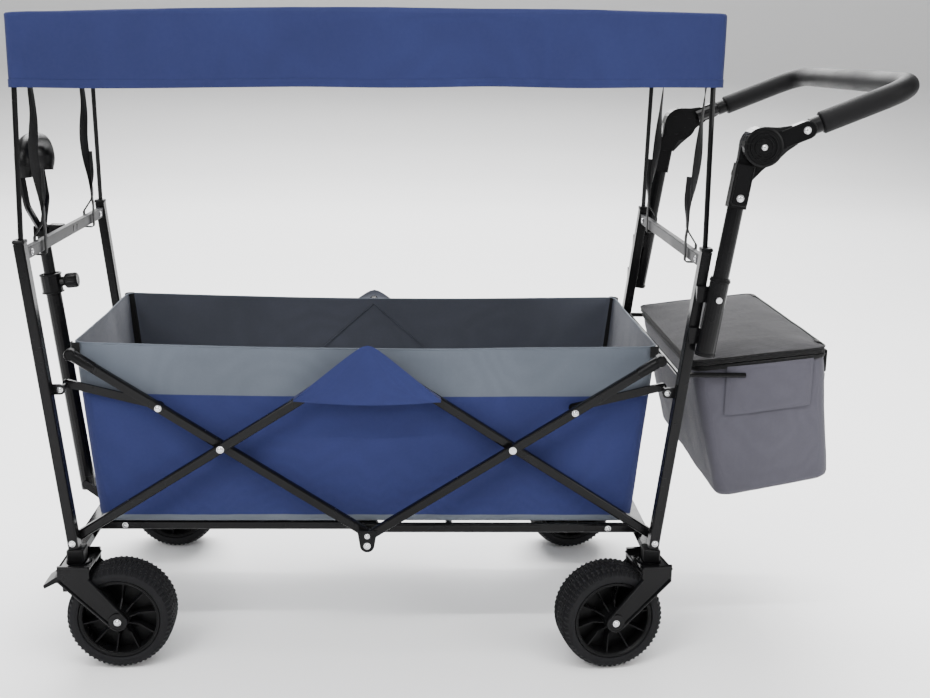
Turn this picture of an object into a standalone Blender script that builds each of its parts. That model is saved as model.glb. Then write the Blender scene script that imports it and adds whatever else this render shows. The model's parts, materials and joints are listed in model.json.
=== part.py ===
"""Folding pull wagon for children: canopy, pull handle, push handle and rear bag.

The wagon stands on z = 0. -X is its front, with the pull handle, and +X its rear, with the
push handle. -Y is the near side. Each object is one separate piece. Sizes are in metres.
"""

from math import atan2, cos, hypot, pi, radians, sin, tan

import bmesh
import bpy
from mathutils import Matrix, Vector

# Ends and sides, as signs of X and Y.
FRONT, REAR = -1, 1
NEAR, FAR = -1, 1
END_NAME = {FRONT: "front", REAR: "rear"}
SIDE_NAME = {NEAR: "near", FAR: "far"}
GAP = 0.0003  # between pieces that touch

# Scissor frame: two crossed pairs of bars on each side, between the two end frames.
PIVOT_X = 0.449
LOW_Z = 0.200
HIGH_Z = 0.487
BAR_END_X = 0.4375  # where the bars that carry the basket's corners end
BAR_HEIGHT = 0.0145
INNER_BAR = (0.2155, 0.2285)
OUTER_BAR = (0.2305, 0.2435)
PIN_RADIUS = 0.003
PIN_HOLE = 0.0034
EDGE_ROUND = 0.0024
CROSS_X = PIVOT_X / 2
CROSS_Z = (LOW_Z + HIGH_Z) / 2
BAR_LENGTH = hypot(PIVOT_X, HIGH_Z - LOW_Z)

# Leaning posts of the end frames.
LEAN = radians(6.8)
POST_LAYER = (0.2455, 0.2675)
POST_WIDTH = 0.016
POST_BOTTOM = 0.1912
POST_TOP = 0.660
POST_WALL = 0.0012
POST_POCKET = 0.045
CROSSBAR_Z = 0.643
CROSSBAR_SIZE = (0.010, 0.018)

# Short stabiliser links from the posts to the bars.
LINK_LAYER = (0.2080, 0.2130)
LINK_HEIGHT = 0.0125
LINK_POST = (0.4594, 0.4387)
LINK_ALONG_BAR = 0.1125  # from the bars' crossing towards the upper corner

# Floor rails, hinged to the lower crossbars and lapped at the middle.
RAIL_HINGE_X = 0.430
RAIL_Z = 0.200
RAIL_LAP = 0.010
RAIL_SIZE = (0.012, 0.014)
RAIL_Y = {FRONT: 0.183, REAR: 0.197}
RAIL_TIE = 0.300  # from the hinge to the frame's cross tube

# Casters.
STEM_X = 0.444
CASTER_Y = 0.250
HUB_X = 0.380
WHEEL_RADIUS = 0.082
TYRE_WIDTH = 0.070
RIM_RADIUS = 0.0625
FORK_GAP = 0.074
FORK_PLATE = 0.004
CROWN_TOP = 0.1650
CROWN_HALF = 0.024
BRACKET = (0.1675, 0.1890)
BRACKET_HALF = 0.013
LOWER_BAR = (0.1720, 0.1855)
STEM_RADIUS = 0.0055
AXLE_RADIUS = 0.0045
YAW = {(FRONT, NEAR): 0, (FRONT, FAR): 0, (REAR, NEAR): radians(9), (REAR, FAR): radians(5)}
PEDAL = (-0.462, 0.148)

# Canopy and its two hoops, whose rods stand in the posts.
ROD_RADIUS = 0.004
ROD_SEAT = 0.022
ROD_LEAN = 0.006
HOOP_TOP = {FRONT: 0.9770, REAR: 0.9945}
HOOP_Y = 0.232
CANOPY_X = (-0.5125, 0.5180)
CANOPY_Y = 0.2480
CANOPY_Z = (0.8815, 0.9865)  # at its front end
CANOPY_RISE = 0.0175  # of the rear end above the front
CANOPY_CROWN = 0.008
FABRIC = 0.0035

# Basket and floor mat.
RIM_Z = 0.501
FLOOR_Z = 0.212
RIM_HALF = (0.438, 0.205)
FLOOR_HALF = (0.4225, 0.200)

# Pull handle, in its own line: distance along it from the base hinge.
PULL_BASE = (-0.487, 0.208)
PULL_LEAN = radians(7.1)
PULL_RADIUS = 0.0125
PULL_BORE = 0.0102
PULL_STEM = 0.0097
PULL_TUBE_END = 0.365
PULL_STEM_START = 0.080
PULL_FORK = 0.431
PULL_GRIP = (0.560, 0.597)
PULL_LEG_Y = 0.058

# Push handle.
HANDLE_Y = 0.285
HANDLE_LEAN = radians(8.3)
HANDLE_LINE = (0.5126, 0.5653)  # a point on the telescoping tubes' line
SOCKET_Z = (0.507, 0.625)
SOCKET_RADIUS = 0.0145
SOCKET_BORE = 0.0124
PAD_Z = (0.535, 0.598)  # pads that stand the socket off its post
PAD_HALF = 0.012
TUBE_RADIUS = 0.012
TUBE_Z = (0.517, 0.744)
BUTTON_Z = 0.594
SLEEVE_Z = (0.729, 0.792)
DISC = (0.568, 0.818)
DISC_RADIUS = 0.029
INNER_DISC = (0.2700, 0.2847)
OUTER_DISC = (0.2853, 0.3015)
ARM_RISE = radians(22.3)
ARM_LENGTH = 0.240
COVER_LENGTH = 0.079
BAR_RADIUS = 0.011
BAR_BEND = 0.055
GRIP_RADIUS = 0.0165
GRIP_START = 0.092

# Rear bag, seen from the side: low front, low rear, top rear and top front corners.
BAG_CORNERS = ((0.5545, 0.2635), (0.7270, 0.2980), (0.7090, 0.4965), (0.4998, 0.4715))
BAG_Y = 0.2240
BAG_WALL = 0.005
LID_THICK = 0.012
ARM_Z = 0.463
ARM_END_X = 0.584

# Colour, roughness and metallic value of each finish.
FINISHES = {
    "powder_coat": ((0.012, 0.012, 0.013), 0.25, 0.0),
    "grey_steel": ((0.16, 0.16, 0.165), 0.35, 0.0),
    "bare_steel": ((0.65, 0.65, 0.66), 0.25, 1.0),
    "moulding": ((0.014, 0.014, 0.015), 0.50, 0.0),
    "tread_rubber": ((0.016, 0.016, 0.017), 0.80, 0.0),
    "foam": ((0.012, 0.012, 0.012), 0.85, 0.0),
    "blue_fabric": ((0.048, 0.082, 0.205), 0.85, 0.0),
    "basket_fabric": ((0.036, 0.056, 0.162), 0.85, 0.0),
    "mat_fabric": ((0.058, 0.064, 0.080), 0.90, 0.0),
    "bag_fabric": ((0.150, 0.142, 0.165), 0.88, 0.0),
    "lid_fabric": ((0.080, 0.078, 0.086), 0.88, 0.0),
}


# ---------------------------------------------------------------- shapes


def prism(outline, low_y, high_y):
    """An outline of (x, z) points, extruded along Y."""
    bm = bmesh.new()
    face = bm.faces.new([bm.verts.new((x, low_y, z)) for x, z in outline])
    made = bmesh.ops.extrude_face_region(bm, geom=[face])
    moved = [item for item in made["geom"] if isinstance(item, bmesh.types.BMVert)]
    bmesh.ops.translate(bm, verts=moved, vec=(0, high_y - low_y, 0))
    return bm


def block(low, high):
    """A box between two corners, given in any order."""
    outline = ((low[0], low[2]), (high[0], low[2]), (high[0], high[2]), (low[0], high[2]))
    return prism(outline, low[1], high[1])


def arc(centre, radius, start, end, steps):
    """Points (x, z) along an arc, both ends included."""
    angles = (start + (end - start) * i / steps for i in range(steps + 1))
    return [(centre[0] + radius * cos(a), centre[1] + radius * sin(a)) for a in angles]


def slot_outline(start, end, radius, steps=6):
    """A bar's outline in the XZ plane, with a round end about each of two points."""
    along = atan2(end[1] - start[1], end[0] - start[0])
    return (arc(end, radius, along - pi / 2, along + pi / 2, steps)
            + arc(start, radius, along + pi / 2, along + 3 * pi / 2, steps))


def round_edges(bm, width=EDGE_ROUND, segments=2):
    """Rounds the long outline edges of a prism, both faces."""
    bm.normal_update()
    edges = [e for e in bm.edges if e.calc_face_angle(0) > radians(50)]
    bmesh.ops.bevel(bm, geom=edges, offset=width, segments=segments, profile=0.5, affect="EDGES")
    return bm


def rod(start, end, radius, sides=16):
    """A cylinder between two points."""
    start, end = Vector(start), Vector(end)
    bm = bmesh.new()
    bmesh.ops.create_cone(bm, cap_ends=True, segments=sides, radius1=radius, radius2=radius,
                          depth=(end - start).length)
    turn = (end - start).to_track_quat("Z", "Y").to_matrix().to_4x4()
    bmesh.ops.transform(bm, matrix=Matrix.Translation((start + end) / 2) @ turn, verts=bm.verts)
    return bm


def beam(start, end, width, depth, corner=0.002):
    """A straight bar with rounded corners: depth is along Y, unless the bar runs along Y."""
    start, end = Vector(start), Vector(end)
    along = (end - start).normalized()
    across = Vector((0, 1, 0)) if abs(along.y) < 0.9 else Vector((0, 0, 1))
    side = along.cross(across).normalized()
    ring = []
    for i, (u, v) in enumerate(((1, 1), (-1, 1), (-1, -1), (1, -1))):
        centre = (u * (width / 2 - corner), v * (depth / 2 - corner))
        ring += arc(centre, corner, i * pi / 2, (i + 1) * pi / 2, 2)
    bm = bmesh.new()
    face = bm.faces.new([bm.verts.new(start + side * u + across * v) for u, v in ring])
    made = bmesh.ops.extrude_face_region(bm, geom=[face])
    moved = [item for item in made["geom"] if isinstance(item, bmesh.types.BMVert)]
    bmesh.ops.translate(bm, verts=moved, vec=end - start)
    return bm


def turned(profile, centre, sides):
    """A ring about a Y axis: profile is a closed loop of (radius, y) points."""
    bm = bmesh.new()
    rings = []
    for i in range(sides):
        angle = 2 * pi * i / sides
        rings.append([bm.verts.new((centre[0] + r * cos(angle), centre[1] + y,
                                    centre[2] + r * sin(angle))) for r, y in profile])
    for i in range(sides):
        here, after = rings[i], rings[(i + 1) % sides]
        for j in range(len(profile)):
            k = (j + 1) % len(profile)
            bm.faces.new((here[j], here[k], after[k], after[j]))
    return bm


def rounded_path(corners, radius, steps=5):
    """The corners' path with each inner corner replaced by an arc."""
    corners = [Vector(c) for c in corners]
    path = [corners[0]]
    for before, corner, after in zip(corners, corners[1:], corners[2:]):
        into, out = (before - corner).normalized(), (after - corner).normalized()
        half = into.angle(out) / 2
        centre = corner + (into + out).normalized() * radius / sin(half)
        first = corner + into * radius / tan(half) - centre
        last = corner + out * radius / tan(half) - centre
        path += [centre + first.normalized().slerp(last.normalized(), i / steps) * radius
                 for i in range(steps + 1)]
    return path + [corners[-1]]


def tube(path, radius, resolution=2):
    """A round bar along a path, from a curve with filled ends."""
    curve = bpy.data.curves.new("path", "CURVE")
    curve.dimensions = "3D"
    curve.bevel_depth = radius
    curve.bevel_resolution = resolution
    curve.use_fill_caps = True
    spline = curve.splines.new("POLY")
    spline.points.add(len(path) - 1)
    for point, place in zip(spline.points, path):
        point.co = (*place, 1)
    guide = bpy.data.objects.new("path", curve)
    bpy.context.scene.collection.objects.link(guide)
    mesh = bpy.data.meshes.new_from_object(guide.evaluated_get(bpy.context.evaluated_depsgraph_get()))
    bm = bmesh.new()
    bm.from_mesh(mesh)
    bmesh.ops.remove_doubles(bm, verts=bm.verts, dist=1e-6)
    bpy.data.objects.remove(guide)
    bpy.data.meshes.remove(mesh)
    return bm


def frustum(low_half, high_half, low_z, high_z, centre_x=0):
    """A box whose lower and upper rectangles differ."""
    bm = bmesh.new()
    rings = []
    for (half_x, half_y), z in ((low_half, low_z), (high_half, high_z)):
        corners = ((-half_x, -half_y), (half_x, -half_y), (half_x, half_y), (-half_x, half_y))
        rings.append([bm.verts.new((centre_x + x, y, z)) for x, y in corners])
    bm.faces.new(rings[0])
    bm.faces.new(rings[1])
    for i in range(4):
        k = (i + 1) % 4
        bm.faces.new((rings[0][i], rings[0][k], rings[1][k], rings[1][i]))
    return bm


# ---------------------------------------------------------------- pieces


def finish(piece, name):
    """Gives a piece its own material."""
    colour, roughness, metallic = FINISHES[name]
    made = bpy.data.materials.new(piece.name)
    made.use_nodes = True
    shader = made.node_tree.nodes["Principled BSDF"]
    shader.inputs["Base Color"].default_value = (*colour, 1)
    shader.inputs["Roughness"].default_value = roughness
    shader.inputs["Metallic"].default_value = metallic
    piece.data.materials.append(made)


def plain_object(name, bm):
    bmesh.ops.recalc_face_normals(bm, faces=bm.faces)
    mesh = bpy.data.meshes.new(name)
    bm.to_mesh(mesh)
    bm.free()
    made = bpy.data.objects.new(name, mesh)
    bpy.context.scene.collection.objects.link(made)
    return made


def piece(name, look, base, joined=(), cut=(), origin=(0, 0, 0), parent=None):
    """One named solid: the base shape, with others joined to it and others cut from it."""
    made = plain_object(name, base)
    tools = []
    for shapes, operation in ((joined, "UNION"), (cut, "DIFFERENCE")):
        for shape in shapes:
            tool = plain_object("tool", shape)
            modifier = made.modifiers.new(operation, "BOOLEAN")
            modifier.operation = operation
            modifier.object = tool
            tools.append(tool)
    if tools:
        graph = bpy.context.evaluated_depsgraph_get()
        before = made.data
        made.data = bpy.data.meshes.new_from_object(made.evaluated_get(graph))
        made.modifiers.clear()
        bpy.data.meshes.remove(before)
        for tool in tools:
            bpy.data.objects.remove(tool)
    made.data.name = name
    made.data.transform(Matrix.Translation(-Vector(origin)))
    made.data.shade_smooth()
    made.data.set_sharp_from_angle(angle=radians(35))
    hold(made, origin, parent or bpy.data.objects["wagon"])
    finish(made, look)
    return made


def hold(item, place, parent):
    """Parents an item at a place given in the wagon's own coordinates."""
    item.parent = parent
    item.location = Vector(place) - Vector(parent.get("place", (0, 0, 0)))
    item["place"] = tuple(place)


def empty(name, place=(0, 0, 0), parent=None, yaw=0):
    made = bpy.data.objects.new(name, None)
    bpy.context.scene.collection.objects.link(made)
    made["place"] = tuple(place)
    if parent:
        hold(made, place, parent)
    made.rotation_euler.z = yaw
    return made


def layer(side, depths):
    """A side's Y range, low value first."""
    return sorted(side * depth for depth in depths)


def post_x(end, z):
    """Where a leaning post's centre line is at a height."""
    return end * (PIVOT_X + (z - LOW_Z) * tan(LEAN))


def line_point(start, lean, distance, y=0.0):
    """A point on a line that leaves start upwards, leaning towards +X."""
    return Vector((start[0] + distance * sin(lean), y, start[1] + distance * cos(lean)))


# ---------------------------------------------------------------- frame


def pin(side, place, depths, radius=PIN_RADIUS):
    """A cylinder along Y at an (x, z) place."""
    low, high = layer(side, depths)
    return rod((place[0], low, place[1]), (place[0], high, place[1]), radius, 12)


def add_post(end, side):
    """A hollow-topped post with the pivot pin of its bar and the lug of its short link."""
    middle = side * sum(POST_LAYER) / 2
    depth = POST_LAYER[1] - POST_LAYER[0]
    bottom = Vector((post_x(end, POST_BOTTOM), middle, POST_BOTTOM))
    top = Vector((post_x(end, POST_TOP), middle, POST_TOP))
    along = (top - bottom).normalized()
    lug = (end * LINK_POST[0], LINK_POST[1])
    lug_root = (post_x(end, LINK_POST[1]), LINK_POST[1])
    bar_layer = OUTER_BAR if end == FRONT else INNER_BAR
    piece(f"{END_NAME[end]}_post_{SIDE_NAME[side]}", "powder_coat",
          beam(bottom, top, POST_WIDTH, depth, 0.0025),
          joined=(prism(slot_outline(lug_root, lug, 0.008), *layer(side, (0.2457, 0.2497))),
                  pin(side, lug, (0.2465, LINK_LAYER[0] - 0.001)),
                  pin(side, (end * PIVOT_X, LOW_Z), (0.2465, bar_layer[0] - 0.001))),
          cut=(beam(top - along * POST_POCKET, top + along * 0.02, POST_WIDTH - 2 * POST_WALL,
                    depth - 2 * POST_WALL, 0.0015),))


def add_bar(name, side, start, end, depths, pins=(), holes=()):
    """A scissor bar between two (x, z) pivots, turning about the first of its holes or pins."""
    low, high = layer(side, depths)
    reach = (INNER_BAR[0] - 0.001, OUTER_BAR[0] + 0.004)
    base = round_edges(prism(slot_outline(start, end, BAR_HEIGHT / 2), low, high))
    centre = (holes or pins)[0]
    piece(f"{name}_{SIDE_NAME[side]}", "powder_coat", base,
          joined=[pin(side, place, reach) for place in pins],
          cut=[pin(side, place, (0.20, 0.26), PIN_HOLE) for place in holes],
          origin=(centre[0], side * sum(depths) / 2, centre[1]))


def add_scissors(side):
    """The bars that rise to the rear lie outside; the bars that fall to the rear lie inside."""
    low = {end: (end * PIVOT_X, LOW_Z) for end in (FRONT, REAR)}
    high_z = LOW_Z + (HIGH_Z - LOW_Z) * BAR_END_X / PIVOT_X
    high = {end: (end * BAR_END_X, high_z) for end in (FRONT, REAR)}
    cross = {end: (end * CROSS_X, CROSS_Z) for end in (FRONT, REAR)}
    apex, nadir = (0, HIGH_Z), (0, LOW_Z)
    add_bar("front_rising_bar", side, low[FRONT], apex, OUTER_BAR,
            pins=(cross[FRONT], apex), holes=(low[FRONT],))
    add_bar("front_falling_bar", side, high[FRONT], nadir, INNER_BAR,
            holes=(cross[FRONT], nadir))
    add_bar("rear_falling_bar", side, apex, low[REAR], INNER_BAR,
            holes=(apex, cross[REAR], low[REAR]))
    add_bar("rear_rising_bar", side, nadir, high[REAR], OUTER_BAR,
            pins=(cross[REAR], nadir))


def add_link(end, side):
    """A flat link from the post's lug to its bar."""
    hinge = (end * LINK_POST[0], LINK_POST[1])
    share = LINK_ALONG_BAR / (BAR_LENGTH / 2)
    far_end = (end * (CROSS_X + share * (PIVOT_X - CROSS_X)), CROSS_Z + share * (HIGH_Z - CROSS_Z))
    low, high = layer(side, LINK_LAYER)
    piece(f"{END_NAME[end]}_link_{SIDE_NAME[side]}", "powder_coat",
          prism(slot_outline(hinge, far_end, LINK_HEIGHT / 2), low, high),
          cut=(pin(side, hinge, (0.20, 0.22), PIN_HOLE),),
          origin=(hinge[0], side * sum(LINK_LAYER) / 2, hinge[1]))


def add_rail_frame(end):
    """Two floor rails and their cross tube, hinged near the lower crossbar."""
    rail_y = RAIL_Y[end]
    width, height = RAIL_SIZE
    start, stop = (end * RAIL_HINGE_X, RAIL_Z), (-end * RAIL_LAP, RAIL_Z)
    rails = [round_edges(prism(slot_outline(start, stop, height / 2),
                               *layer(side, (rail_y - width / 2, rail_y + width / 2))), 0.002, 1)
             for side in (NEAR, FAR)]
    tie_x = end * (RAIL_HINGE_X - RAIL_TIE)
    tie = rod((tie_x, -rail_y, RAIL_Z), (tie_x, rail_y, RAIL_Z), 0.0058, 12)
    piece(f"{END_NAME[end]}_floor_rails", "powder_coat", rails[0], joined=(tie, rails[1]),
          cut=[pin(side, start, (rail_y - 0.02, rail_y + 0.02), PIN_HOLE) for side in (NEAR, FAR)],
          origin=(start[0], 0, start[1]))


def add_lower_crossbar(end):
    """The bar between the corner brackets, with the rails' lugs and, in front, the handle's."""
    inside = CASTER_Y - 0.0135 - GAP
    x = end * 0.447
    lug_in = RAIL_Y[end] - RAIL_SIZE[0] / 2
    hinge = (end * RAIL_HINGE_X, RAIL_Z)
    shapes = []
    for side in (NEAR, FAR):
        root = (end * 0.441, sum(LOWER_BAR) / 2)
        lug = layer(side, (lug_in - 0.0045, lug_in - 0.0015))
        shapes.append(prism(slot_outline(root, hinge, 0.0062), *lug))
        shapes.append(pin(side, hinge, (lug_in - 0.003, lug_in + 0.010)))
        if end == FRONT:
            root = (-PIVOT_X, sum(LOWER_BAR) / 2)
            cheek = layer(side, (PULL_RADIUS + 0.001, PULL_RADIUS + 0.0045))
            shapes.append(prism(slot_outline(root, PULL_BASE, 0.0065), *cheek))
    piece(f"{END_NAME[end]}_lower_crossbar", "powder_coat",
          block((x - 0.010, -inside, LOWER_BAR[0]), (x + 0.010, inside, LOWER_BAR[1])), joined=shapes)


def add_upper_crossbar(end):
    """The flat bar between the tops of an end's posts."""
    inside = POST_LAYER[0] - GAP
    x = post_x(end, CROSSBAR_Z)
    piece(f"{END_NAME[end]}_upper_crossbar", "grey_steel",
          beam((x, -inside, CROSSBAR_Z), (x, inside, CROSSBAR_Z), *CROSSBAR_SIZE, 0.0015))


# ---------------------------------------------------------------- casters


def fork_outline(end):
    """One fork plate: the crown's side, then a leg that slants to the axle."""
    hub = (HUB_X, WHEEL_RADIUS)
    slant = atan2(0.152 - hub[1], STEM_X - hub[0])
    leg = arc(hub, 0.0145, slant - pi / 2, slant - 3 * pi / 2, 8)
    crown = [(STEM_X - CROWN_HALF, 0.150), (STEM_X - CROWN_HALF, 0.172),
             (STEM_X + CROWN_HALF, 0.172), (STEM_X + CROWN_HALF, 0.147)]
    return [(end * x, z) for x, z in leg + crown]


def add_caster(end, side):
    """A corner bracket, and a fork, a hub and a tyre that turn together about its stem."""
    name = f"{END_NAME[end]}_{SIDE_NAME[side]}"
    y = side * CASTER_Y
    stem = (end * STEM_X, y)
    hub = (end * HUB_X, y, WHEEL_RADIUS)
    piece(f"corner_bracket_{name}", "moulding",
          round_edges(block((end * 0.446 - BRACKET_HALF, y - side * 0.0135, BRACKET[0]),
                            (end * 0.446 + BRACKET_HALF, y + side * 0.0175, BRACKET[1])), 0.002, 1),
          cut=(rod((*stem, BRACKET[0] - 0.01), (*stem, 0.1835), STEM_RADIUS + 0.0005, 12),))
    swivel = empty(f"caster_{name}", (*stem, CROWN_TOP), bpy.data.objects["wagon"], YAW[end, side])
    inner, outer = FORK_GAP / 2, FORK_GAP / 2 + FORK_PLATE
    plates = [prism(fork_outline(end), *sorted((y + k * inner, y + k * outer))) for k in (-1, 1)]
    crown = block((stem[0] - CROWN_HALF, y - outer + 0.001, CROWN_TOP - 0.0045),
                  (stem[0] + CROWN_HALF, y + outer - 0.001, CROWN_TOP))
    piece(f"fork_{name}", "powder_coat", plates[0],
          joined=(crown, plates[1],
                  rod((*stem, CROWN_TOP - 0.002), (*stem, 0.1825), STEM_RADIUS, 12),
                  rod((hub[0], y - outer - 0.003, hub[2]), (hub[0], y + outer + 0.003, hub[2]),
                      AXLE_RADIUS, 12)),
          origin=(*stem, CROWN_TOP), parent=swivel)
    add_wheel(name, hub, swivel)


def add_wheel(name, centre, parent):
    """A plastic hub with a web, and a solid tyre around its rim."""
    rim, bore, half = RIM_RADIUS, AXLE_RADIUS + 0.0004, TYRE_WIDTH / 2
    hub_half = FORK_GAP / 2 - 0.0015
    hub = [(bore, -hub_half), (0.0155, -hub_half), (0.0165, -0.006), (rim - 0.006, -0.006),
           (rim - 0.005, -0.031), (rim, -0.031), (rim, 0.031), (rim - 0.005, 0.031),
           (rim - 0.006, 0.006), (0.0165, 0.006), (0.0155, hub_half), (bore, hub_half)]
    piece(f"hub_{name}", "moulding", turned(hub, centre, 24), origin=centre, parent=parent)
    low, shoulder = rim + GAP, WHEEL_RADIUS - 0.0045
    tyre = [(low, -half + 0.003), (low + 0.004, -half), (shoulder, -half),
            (WHEEL_RADIUS, -half + 0.008), (WHEEL_RADIUS, half - 0.008), (shoulder, half),
            (low + 0.004, half), (low, half - 0.003)]
    piece(f"tyre_{name}", "tread_rubber", turned(tyre, centre, 32), origin=centre, parent=parent)


def add_brake_pedal(side):
    """A foot pedal in a front fork, with a tongue that swings to the tyre."""
    x, z = PEDAL
    y = side * CASTER_Y
    outline = (arc(PEDAL, 0.0065, radians(20), radians(150), 5)
               + [(x - 0.016, z - 0.002), (x - 0.033, z - 0.014), (x - 0.031, z - 0.019),
                  (x - 0.014, z - 0.010), (x - 0.004, z - 0.008), (x - 0.003, z - 0.024),
                  (x + 0.003, z - 0.024)])
    reach = FORK_GAP / 2 - 0.0006
    piece(f"brake_pedal_{SIDE_NAME[side]}", "moulding", prism(outline, y - 0.024, y + 0.024),
          joined=(rod((x, y - reach, z), (x, y + reach, z), 0.003, 12),), origin=(x, y, z))


# ---------------------------------------------------------------- canopy and soft parts


def rod_x(end, z):
    """A canopy rod's place, which leans less than the post that it stands in."""
    middle = POST_TOP - ROD_SEAT / 2
    return post_x(end, middle) + end * (z - middle) * ROD_LEAN


def add_hoop(end):
    """One rod bent into a U, with its ends in the near and far posts."""
    foot_y, foot_z = sum(POST_LAYER) / 2, POST_TOP - ROD_SEAT
    top_z = HOOP_TOP[end]
    foot_x, top_x = rod_x(end, foot_z), rod_x(end, top_z)
    corners = [(foot_x, -foot_y, foot_z), (top_x, -HOOP_Y, top_z),
               (top_x, HOOP_Y, top_z), (foot_x, foot_y, foot_z)]
    piece(f"{END_NAME[end]}_canopy_hoop", "powder_coat",
          tube(rounded_path(corners, 0.025), ROD_RADIUS), origin=corners[0])


def canopy_outline(inset):
    """The canopy seen from the side: it rises to the rear, and its top bulges at the middle."""
    low_x, high_x = CANOPY_X[0] + inset, CANOPY_X[1] - inset
    top_z = CANOPY_Z[1] - inset
    top = [(low_x + (high_x - low_x) * i / 10,
            top_z + CANOPY_RISE * i / 10 + CANOPY_CROWN * sin(pi * i / 10)) for i in range(11)]
    floor = CANOPY_Z[0] - (0.01 if inset else 0)
    return [(high_x, floor + CANOPY_RISE), (low_x, floor)] + top


def add_canopy():
    half = CANOPY_Y - FABRIC
    piece("canopy_fabric", "blue_fabric", prism(canopy_outline(0), -CANOPY_Y, CANOPY_Y),
          cut=(prism(canopy_outline(FABRIC), -half, half),), origin=(CANOPY_X[0], 0, CANOPY_Z[1]))


def add_basket():
    """An open tapered shell, and the padded mat that lies on its floor."""
    wall = 0.004
    inside_low = (FLOOR_HALF[0] - wall, FLOOR_HALF[1] - wall)
    inside_high = (RIM_HALF[0] - wall, RIM_HALF[1] - wall)
    piece("basket_fabric", "basket_fabric", frustum(FLOOR_HALF, RIM_HALF, FLOOR_Z, RIM_Z),
          cut=(frustum(inside_low, inside_high, FLOOR_Z + wall, RIM_Z + GAP),), origin=(0, 0, FLOOR_Z))
    mat_low = FLOOR_Z + wall + GAP
    piece("floor_mat", "mat_fabric",
          round_edges(block((-0.410, -0.190, mat_low), (0.410, 0.190, mat_low + 0.008)), 0.002, 1),
          origin=(0, 0, mat_low))


def bag_outline(inset, rise):
    """The bag seen from the side, its walls moved in and its open top moved up."""
    low_front, low_rear, top_rear, top_front = BAG_CORNERS
    return ((low_front[0] + inset, low_front[1] + inset), (low_rear[0] - inset, low_rear[1] + inset),
            (top_rear[0] - inset, top_rear[1] + rise), (top_front[0] + inset, top_front[1] + rise))


def add_bag():
    """The rear bag: an open body, a lid hinged at the wagon's side, and the bracket it hangs on."""
    inside = BAG_Y - BAG_WALL
    top_rear, top_front = (Vector(corner) for corner in BAG_CORNERS[2:])
    hollow = prism(bag_outline(BAG_WALL, 0.002), -inside, inside)
    piece("bag_body", "bag_fabric", prism(bag_outline(0, 0), -BAG_Y, BAG_Y), cut=(hollow,),
          origin=(top_front[0], 0, top_front[1]))
    slope = (top_rear - top_front).normalized()
    up = Vector((-slope.y, slope.x))
    low_front, low_rear = top_front + up * 0.0006, top_rear + up * 0.0006
    hinge = low_front + up * LID_THICK
    lid = prism((low_front, low_rear, low_rear + up * LID_THICK, hinge), -BAG_Y, BAG_Y)
    piece("bag_lid", "lid_fabric", round_edges(lid, 0.003), origin=(hinge[0], 0, hinge[1]))
    rod_y, back_x = BAG_Y + 0.0060, post_x(REAR, ARM_Z) + 0.0005
    corners = [(ARM_END_X, -rod_y, ARM_Z), (back_x, -rod_y, ARM_Z),
               (back_x, rod_y, ARM_Z), (ARM_END_X, rod_y, ARM_Z)]
    piece("bag_bracket", "powder_coat", tube(rounded_path(corners, 0.008, 3), 0.004),
          origin=(back_x, 0, ARM_Z))


# ---------------------------------------------------------------- pull handle


def pull_point(distance, y=0.0, out=0.0):
    """A point on the pull handle: along it, across it, and out of it towards the wagon."""
    place = line_point(PULL_BASE, -PULL_LEAN, distance, y)
    return place + Vector((cos(PULL_LEAN), 0, sin(PULL_LEAN))) * out


def add_pull_handle():
    """A hinged outer tube with a clamp collar, and a forked inner tube with a grip."""
    base = pull_point(0)
    bore = rod(pull_point(PULL_STEM_START - 0.015), pull_point(PULL_TUBE_END + 0.02), PULL_BORE)
    collar = rod(pull_point(PULL_TUBE_END - 0.030), pull_point(PULL_TUBE_END), 0.0170)
    knob_at = PULL_TUBE_END - 0.014
    boss = rod(pull_point(knob_at, 0, 0.012), pull_point(knob_at, 0, 0.0215), 0.008, 12)
    outer = rod(pull_point(-0.011), pull_point(PULL_TUBE_END - 0.005), PULL_RADIUS)
    piece("pull_handle_tube", "powder_coat", outer, joined=(collar, boss), cut=(bore,), origin=base)
    start, end = pull_point(PULL_STEM_START), pull_point(PULL_FORK)
    legs = [tube(rounded_path((pull_point(PULL_FORK - 0.009, side * 0.0069),
                               pull_point(PULL_FORK + 0.010, side * 0.0069),
                               pull_point(PULL_FORK + 0.055, side * PULL_LEG_Y),
                               pull_point(PULL_GRIP[0] + 0.010, side * PULL_LEG_Y)), 0.018, 4), 0.0058)
            for side in (NEAR, FAR)]
    piece("pull_handle_inner", "powder_coat", rod(start, end, PULL_STEM, 18), joined=legs, origin=start)
    grip = [pull_point(PULL_GRIP[0], -PULL_LEG_Y), pull_point(PULL_GRIP[1] - 0.015, -PULL_LEG_Y),
            pull_point(PULL_GRIP[1] - 0.015, PULL_LEG_Y), pull_point(PULL_GRIP[0], PULL_LEG_Y)]
    holes = [rod(pull_point(PULL_GRIP[0] - 0.010, side * PULL_LEG_Y),
                 pull_point(PULL_GRIP[0] + 0.0106, side * PULL_LEG_Y), 0.0063, 12)
             for side in (NEAR, FAR)]
    piece("pull_handle_grip", "moulding", tube(rounded_path(grip, 0.017, 4), 0.0150, 3),
          cut=holes, origin=pull_point(PULL_GRIP[0]))
    knob = rod(pull_point(knob_at, 0, 0.0222), pull_point(knob_at, 0, 0.0440), 0.0125)
    piece("clamp_knob", "moulding", knob, origin=pull_point(knob_at, 0, 0.0222))


# ---------------------------------------------------------------- push handle


def handle_point(z, side):
    """A point on the telescoping tube's centre line at a height."""
    distance = (z - HANDLE_LINE[1]) / cos(HANDLE_LEAN)
    return line_point(HANDLE_LINE, HANDLE_LEAN, distance, side * HANDLE_Y)


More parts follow.
